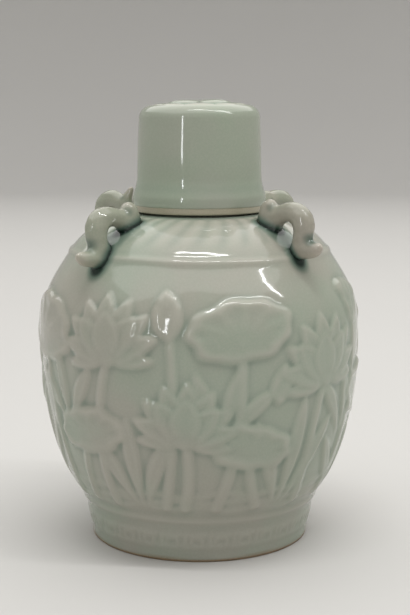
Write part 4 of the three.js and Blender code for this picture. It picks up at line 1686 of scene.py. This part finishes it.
@dataclass
class Cork:
    """The tapered cork in the jar's mouth.

    Attributes:
        mouth: height of the mouth.
        stands_out: how far it stands out of it.
        depth: how far it reaches in.
        radius: its radius at the top.
        taper: how much smaller its lower end is.
        chamfer: its worn edges.
        sides: steps round it.
        pits: number of its pores.
        top_share: share of them on the top.
        pit_depth: their depth.
    """

    mouth: float = MOUTH_HEIGHT
    stands_out: float = 3.0
    depth: float = 14.0
    radius: float = 11.7
    taper: float = 0.7
    chamfer: float = 0.6
    sides: int = 128
    pits: int = 90
    top_share: float = 0.35
    pit_depth: float = 0.28

    def outline(self, low: float, high: float) -> Array:
        """The cork's outline, from the middle of its lower end round to its top.

        Args:
            low: height of its lower end.
            high: height of its top.

        Returns:
            Its points.
        """
        small, wide, worn = self.radius - self.taper, self.radius, self.chamfer
        return joined([
            respaced(np.array([(0.0, low), (small - worn, low)]), 0.8),
            arc((small - worn, low + worn), worn, -80, 0, 4),
            respaced(np.array([(small + 0.02, low + 1.2), (wide, high - 1.2)]), 0.6),
            arc((wide - worn, high - worn), worn, 0, 80, 4),
            respaced(np.array([(wide - worn - 0.3, high), (0.0, high)]), 0.8),
        ])

    def pores(self, place: Array, low: float, high: float) -> Array:
        """Depth of the pores, from 0 to 1, on its side and its top.

        Args:
            place: places on the cork.
            low: height of its lower end.
            high: height of its top.

        Returns:
            The depth at each place.
        """
        seed = np.random.default_rng(7)
        depth = np.zeros(len(place))
        for _ in range(self.pits):
            angle, z = seed.uniform(0, TURN), seed.uniform(low + 1, high - 0.5)
            size, out = seed.uniform(0.35, 0.9), self.radius
            if seed.random() < self.top_share:
                out, z = math.sqrt(seed.random()) * (self.radius - 1), high
            spot = (out * math.cos(angle), out * math.sin(angle), z)
            away = np.linalg.norm((place - spot) / (1, 1, 0.6), axis=1)
            depth = np.maximum(depth, ramp(size, size * 0.3, away))
        return depth

    def build(self, finish: bpy.types.Material) -> bpy.types.Object:
        """Builds the cork.

        Args:
            finish: its bark.

        Returns:
            The finished piece.
        """
        ends = self.mouth - self.depth, self.mouth + self.stands_out
        piece = finished("cork_stopper", spun(self.outline(*ends), self.sides))
        place = places(piece)
        pores = self.pores(place, *ends)
        move_to(piece, place - outward_of(piece) * (self.pit_depth * pores)[:, None])
        mark(piece, "pit", pores)
        return dress(piece, Body.CORK, "cork", finish)


# ---- finishes


class Nodes:
    """Short hands for building a material's nodes."""

    def __init__(self, name: str) -> None:
        """Starts a material with one Principled shader.

        Args:
            name: the material's name.
        """
        self.material = bpy.data.materials.new(name)
        self.material.use_nodes = True
        self.tree = self.material.node_tree
        self.shader = next(node for node in self.tree.nodes if node.type == "BSDF_PRINCIPLED")
        self.coordinates = self.add("ShaderNodeTexCoord").outputs["Object"]

    def add(self, kind: str, **settings: str) -> bpy.types.Node:
        """Adds a node and sets its properties.

        Args:
            kind: the node's type.
            settings: its properties.

        Returns:
            The node.
        """
        node = self.tree.nodes.new(kind)
        for key, value in settings.items():
            setattr(node, key, value)
        return node

    def plug(self, socket: Socket, value: Input) -> None:
        """Links a socket to an output, or sets it to a value."""
        if isinstance(value, Socket):
            self.tree.links.new(value, socket)
        else:
            socket.default_value = value

    def dress(self, **inputs: Input) -> bpy.types.Material:
        """Plugs the shader's inputs, named with _ for a space.

        Args:
            inputs: what goes into each.

        Returns:
            The finished material.
        """
        for name, value in inputs.items():
            self.plug(self.shader.inputs[name.replace("_", " ")], value)
        return self.material

    def attribute(self, name: str) -> Socket:
        """A value kept on the mesh's vertices."""
        return self.add("ShaderNodeAttribute", attribute_name=name).outputs["Fac"]

    def noise(self, scale: float, detail: float = 2.0, roughness: float = 0.5) -> Socket:
        """A cloudy noise.

        Args:
            scale: its number of features per metre.
            detail: how many finer layers it has.
            roughness: how strong they are.

        Returns:
            The value.
        """
        node = self.add("ShaderNodeTexNoise")
        self.plug(node.inputs["Vector"], self.coordinates)
        self.plug(node.inputs["Scale"], scale)
        self.plug(node.inputs["Detail"], detail)
        self.plug(node.inputs["Roughness"], roughness)
        return node.outputs["Fac"]

    def cells(self, scale: float) -> Socket:
        """Distance to scattered points, of the given number per metre.

        Args:
            scale: their number.

        Returns:
            The value.
        """
        node = self.add("ShaderNodeTexVoronoi")
        self.plug(node.inputs["Vector"], self.coordinates)
        self.plug(node.inputs["Scale"], scale)
        return node.outputs["Distance"]

    def remap(self, value: Socket, low: float, high: float, to_low: float = 0.0,
              to_high: float = 1.0) -> Socket:
        """A value stretched smoothly from one range to another.

        Args:
            value: the value.
            low: where its range starts.
            high: where it ends.
            to_low: where the new range starts.
            to_high: where it ends.

        Returns:
            The new value.
        """
        node = self.add("ShaderNodeMapRange", interpolation_type="SMOOTHSTEP")
        names = ("From Min", "From Max", "To Min", "To Max")
        for name, number in zip(names, (low, high, to_low, to_high)):
            self.plug(node.inputs[name], number)
        self.plug(node.inputs["Value"], value)
        return node.outputs["Result"]

    def times(self, first: Input, second: Input) -> Socket:
        """The product of two values.

        Args:
            first: one of them.
            second: the other.

        Returns:
            The product.
        """
        node = self.add("ShaderNodeMath", operation="MULTIPLY")
        self.plug(node.inputs[0], first)
        self.plug(node.inputs[1], second)
        return node.outputs[0]

    def mix(self, share: Input, first: Input, second: Input) -> Socket:
        """A colour between two colours.

        Args:
            share: how much of the second there is in it.
            first: the first colour.
            second: the second colour.

        Returns:
            The colour.
        """
        node = self.add("ShaderNodeMix", data_type="RGBA")
        self.plug(node.inputs[0], share)
        sockets = [socket for socket in node.inputs if socket.type == "RGBA"]
        for socket, colour in zip(sockets, (first, second)):
            self.plug(socket, colour if isinstance(colour, Socket) else (*colour, 1.0))
        return next(socket for socket in node.outputs if socket.type == "RGBA")

    def bump(self, height: Socket, depth: float, normal: Socket | None = None) -> Socket:
        """A surface that rises with a value.

        Args:
            height: the value.
            depth: how far it rises for a value of 1, in millimetres.
            normal: the surface that it rises from, if that isn't the plain one.

        Returns:
            The surface's direction.
        """
        node = self.add("ShaderNodeBump")
        self.plug(node.inputs["Height"], height)
        self.plug(node.inputs["Distance"], depth * MM)
        self.plug(node.inputs["Strength"], 1.0)
        if normal is not None:
            self.plug(node.inputs["Normal"], normal)
        return node.outputs["Normal"]


@dataclass(frozen=True)
class Glaze:
    """A celadon glaze over a pale clay.

    Attributes:
        name: the finish's name.
        base: its colour on plain walls.
        warm: its colour where the clay shows through.
        pale: its colour on raised edges, where it runs thin.
        pool: its colour where it gathers, also used for painted shade under the handles.
        deep: its colour in the deepest corners, also used for painted shadow at the handles' feet.
        clay: the unglazed clay.
        gloss: roughness of the glaze.
        ripple: depth of its slow waves, in millimetres.
        bubbles: depth of its pinholes, in millimetres.
        drips: depth of the small waves where it gathers, in millimetres.
        clay_roughness: roughness of the unglazed clay.
        grit: brightness of the clay's dark grains, as a share of the clay's.
    """

    name: str
    base: Colour
    warm: Colour
    pale: Colour
    pool: Colour
    deep: Colour
    clay: Colour = (0.33, 0.235, 0.135)
    gloss: float = 0.07
    ripple: float = 0.05
    bubbles: float = 0.03
    drips: float = 0.05
    clay_roughness: float = 0.82
    grit: float = 0.62

    # How many of each lie along a metre.
    CLOUDS = 26.0
    MOTTLES = 1500.0
    GRAINS = 2600.0
    RIPPLES = 170.0
    PINHOLES = 620.0
    PINHOLE_PATCHES = 140.0
    DRIPS = 850.0
    REFRACTION = 1.52

    def colour(self, n: Nodes, pool: Socket, thin: Socket) -> Socket:
        """The colour of the glaze.

        Args:
            n: the finish's nodes.
            pool: where the glaze gathers, and where shade is painted.
            thin: where it runs thin.

        Returns:
            The colour.
        """
        colour = n.mix(n.remap(n.noise(self.CLOUDS, 3.0), 0.38, 0.66), self.base, self.warm)
        mottle = n.remap(n.noise(self.MOTTLES, 2.0, 0.6), 0.35, 0.75, 0.0, 0.16)
        colour = n.mix(mottle, colour, self.pale)
        colour = n.mix(thin, colour, self.pale)
        # The pool and deep colours also paint shade and shadow where the pool mark holds them.
        colour = n.mix(n.remap(pool, 0.0, 0.75), colour, self.pool)
        return n.mix(n.remap(pool, 0.6, 1.0), colour, self.deep)

    def surface(self, n: Nodes, pool: Socket) -> Socket:
        """The glaze's slow waves, its pinholes and the small waves where it gathers.

        Args:
            n: the finish's nodes.
            pool: where the glaze gathers, and where shade is painted.

        Returns:
            The surface's direction.
        """
        slow = n.bump(n.noise(self.RIPPLES, 1.0), self.ripple)
        holes = n.remap(n.cells(self.PINHOLES), 0.0, 0.16, -1.0, 0.0)
        few = n.remap(n.noise(self.PINHOLE_PATCHES, 1.0), 0.55, 0.62)
        pinned = n.bump(n.times(holes, few), self.bubbles, slow)
        waves = n.times(n.noise(self.DRIPS, 1.0), n.remap(pool, 0.15, 0.6))
        return n.bump(waves, self.drips, pinned)

    def material(self) -> bpy.types.Material:
        """Builds the finish.

        Returns:
            The material.
        """
        n = Nodes(self.name)
        pool, thin, bare = (n.attribute(name) for name in ("pool", "thin", "bare"))
        grain = n.remap(n.noise(self.GRAINS, 3.0, 0.7), 0.3, 0.7)
        grit = n.mix(grain, self.clay, tuple(self.grit * part for part in self.clay))
        return n.dress(
            Base_Color=n.mix(bare, self.colour(n, pool, thin), grit),
            Roughness=n.remap(bare, 0.2, 0.8, self.gloss, self.clay_roughness),
            IOR=self.REFRACTION,
            Normal=self.surface(n, pool),
        )


@dataclass(frozen=True)
class Bark:
    """Cork bark with darker pores.

    Attributes:
        name: the finish's name.
        light: its light colour.
        dark: its dark colour.
        pore: the colour in its pores.
        depth: depth of its grain, in millimetres.
    """

    name: str
    light: Colour
    dark: Colour
    pore: Colour
    depth: float = 0.15

    # How many of each lie along a metre.
    CLOUDS = 420.0
    FLECKS = 900.0
    GRAINS = 1400.0

    def material(self) -> bpy.types.Material:
        """Builds the finish.

        Returns:
            The material.
        """
        n = Nodes(self.name)
        grain = n.remap(n.noise(self.CLOUDS, 5.0, 0.65), 0.32, 0.7)
        fleck = n.remap(n.cells(self.FLECKS), 0.02, 0.2, 1.0, 0.0)
        colour = n.mix(grain, self.light, self.dark)
        colour = n.mix(n.times(fleck, 0.5), colour, self.pore)
        return n.dress(
            Base_Color=n.mix(n.attribute("pit"), colour, self.pore),
            Roughness=n.remap(grain, 0.0, 1.0, 0.82, 0.95),
            Normal=n.bump(n.noise(self.GRAINS, 4.0, 0.7), self.depth),
        )


# The body's and handles' pool and deep colours also serve as painted shade and shadow.
BODY_GLAZE = Glaze(
    "celadon_body", base=(0.34, 0.385, 0.31), warm=(0.375, 0.37, 0.315), pale=(0.5, 0.475, 0.41),
    pool=(0.15, 0.21, 0.165), deep=(0.018, 0.036, 0.028),
)
HANDLE_GLAZE = Glaze(
    "celadon_handles", base=(0.31, 0.34, 0.262), warm=(0.345, 0.33, 0.275),
    pale=(0.5, 0.44, 0.375), pool=(0.09, 0.14, 0.11), deep=(0.012, 0.026, 0.02),
    ripple=0.08, bubbles=0.06, drips=0.16,
)
LID_GLAZE = Glaze(
    "celadon_lid", base=(0.33, 0.385, 0.3), warm=(0.35, 0.375, 0.31), pale=(0.48, 0.475, 0.4),
    pool=(0.19, 0.26, 0.2), deep=(0.05, 0.09, 0.07), clay=(0.47, 0.435, 0.325),
    ripple=0.03, bubbles=0.02, clay_roughness=0.3, grit=0.86,
)
CORK_BARK = Bark(
    "cork_bark", light=(0.5, 0.31, 0.15), dark=(0.33, 0.18, 0.075), pore=(0.1, 0.045, 0.018)
)


# ---- studio


@dataclass(frozen=True)
class Lamp:
    """A soft lamp that faces the jar.

    Attributes:
        name: its name.
        place: to the camera's right, towards the camera, and up, in metres from the jar's foot.
        size: its width and height in metres.
        power: its power in watts.
        tint: its colour.
        yaw: how far its right end is turned towards the camera, in degrees.
    """

    name: str
    place: tuple[float, float, float]
    size: Point
    power: float
    tint: Colour
    yaw: float = 0.0

    AIM = Vector((0.0, 0.0, 0.08))  # what it faces, in metres

    def hang(self, right: Vector, near: Vector) -> None:
        """Hangs the lamp.

        Args:
            right: the direction to the camera's right.
            near: the direction towards the camera.
        """
        data = bpy.data.lights.new(self.name, "AREA")
        data.shape = "RECTANGLE"
        data.size, data.size_y = self.size
        data.energy = self.power
        data.color = self.tint
        lamp = bpy.data.objects.new(self.name, data)
        across, towards, up = self.place
        lamp.location = right * across + near * towards + Vector((0.0, 0.0, up))
        turn = math.radians(self.yaw)
        side = right * math.cos(turn) + near * math.sin(turn)
        back = lamp.location - self.AIM
        back = (back - side * back.dot(side)).normalized()
        lamp.rotation_mode = "QUATERNION"
        turned = Matrix((side, back.cross(side), back)).transposed()
        lamp.rotation_quaternion = turned.to_quaternion()
        bpy.context.scene.collection.objects.link(lamp)


@dataclass
class Studio:
    """The pale floor, soft lights and camera.

    Attributes:
        lens: focal length on a 36 mm long side.
        distance: of the camera from the jar's axis, in metres.
        height: of the camera, in metres.
        bearing: of the camera in degrees from the direction of -Y.
        pitch: how far it looks down, in degrees.
        swing: how far it looks to the right of the axis, in degrees.
        floor: the floor's colour.
        floor_reach: radius of its flat part, in metres.
        sweep: radius of its bend up into the backdrop, in metres.
        backdrop: height of the backdrop, in metres.
        paper: roughness of the floor.
        air: strength of the light from all round.
        lamps: the lamps.
    """

    lens: float = 76.04
    distance: float = 0.42546
    height: float = 0.14128
    bearing: float = 45.0
    pitch: float = 8.83
    swing: float = 0.244
    floor: Colour = (0.61, 0.6, 0.58)
    floor_reach: float = 1.7
    sweep: float = 0.6
    backdrop: float = 1.6
    paper: float = 0.85
    air: float = 0.22
    lamps: tuple[Lamp, ...] = (
        Lamp("overhead_soft", (-0.05, -0.25, 1.25), (2.8, 2.8), 31.0, (1.0, 0.99, 0.97)),
        Lamp("strip_top", (0.55, 0.32, 1.1), (1.6, 0.026), 6.2, (1.0, 1.0, 1.0), 8.0),
        Lamp("window_left", (-0.6, 1.0, 0.35), (0.04, 0.45), 1.1, (0.95, 0.97, 1.0), 31.0),
    )

    def lay_floor(self) -> None:
        """Lays a floor that sweeps up into a backdrop on every side, far from the jar."""
        reach, sweep = self.floor_reach, self.sweep
        outline = joined([
            [(0.0, 0.0), (reach, 0.0)],
            arc((reach, sweep), sweep, -84, 0, 12),
            [(reach + sweep, self.backdrop)],
        ])
        floor = finished("studio_floor", spun(outline / MM, 96))
        n = Nodes("studio_paper")
        darker = tuple(0.97 * part for part in self.floor)
        colour = n.mix(n.noise(3.0), self.floor, darker)
        floor.data.materials.append(n.dress(Base_Color=colour, Roughness=self.paper))

    def light(self) -> None:
        """Hangs the lamps and sets the air's light."""
        world = bpy.data.worlds.new("studio_air")
        world.use_nodes = True
        background = next(node for node in world.node_tree.nodes if node.type == "BACKGROUND")
        background.inputs["Color"].default_value = (1.0, 1.0, 1.0, 1.0)
        background.inputs["Strength"].default_value = self.air
        bpy.context.scene.world = world
        turn = math.radians(self.bearing)
        right = Vector((math.cos(turn), math.sin(turn), 0.0))
        near = Vector((math.sin(turn), -math.cos(turn), 0.0))
        for lamp in self.lamps:
            lamp.hang(right, near)
        bpy.context.scene.view_settings.view_transform = "Standard"

    def aim(self) -> None:
        """Sets the camera up."""
        data = bpy.data.cameras.new("camera")
        data.lens = self.lens
        data.clip_start = 0.01
        camera = bpy.data.objects.new("camera", data)
        turn = math.radians(self.bearing)
        out = self.distance
        camera.location = (out * math.sin(turn), -out * math.cos(turn), self.height)
        camera.rotation_euler = (
            math.radians(90.0 - self.pitch), 0.0, math.radians(self.bearing - self.swing)
        )
        bpy.context.scene.collection.objects.link(camera)
        bpy.context.scene.camera = camera


def main() -> None:
    """Builds every piece in order, then the studio."""
    logging.basicConfig(level=logging.INFO, format="%(name)s: %(message)s")
    body = JarBody()
    decoration = Decoration(body.wall)
    borders = Borders()
    borders.lay_water(decoration)
    Pond().lay(decoration)
    borders.lay_lines(decoration)
    borders.lay_flutes(decoration)
    borders.lay_fret(decoration)
    decoration.settle()
    body.build(decoration, HANDLES, BODY_GLAZE.material())
    handle_finish = HANDLE_GLAZE.material()
    for coil in HANDLES:
        coil.build(body.wall, handle_finish)
    BellLid().build(LID_GLAZE.material())
    Cork().build(CORK_BARK.material())
    studio = Studio()
    studio.lay_floor()
    studio.light()
    studio.aim()


if __name__ == "__main__":
    main()
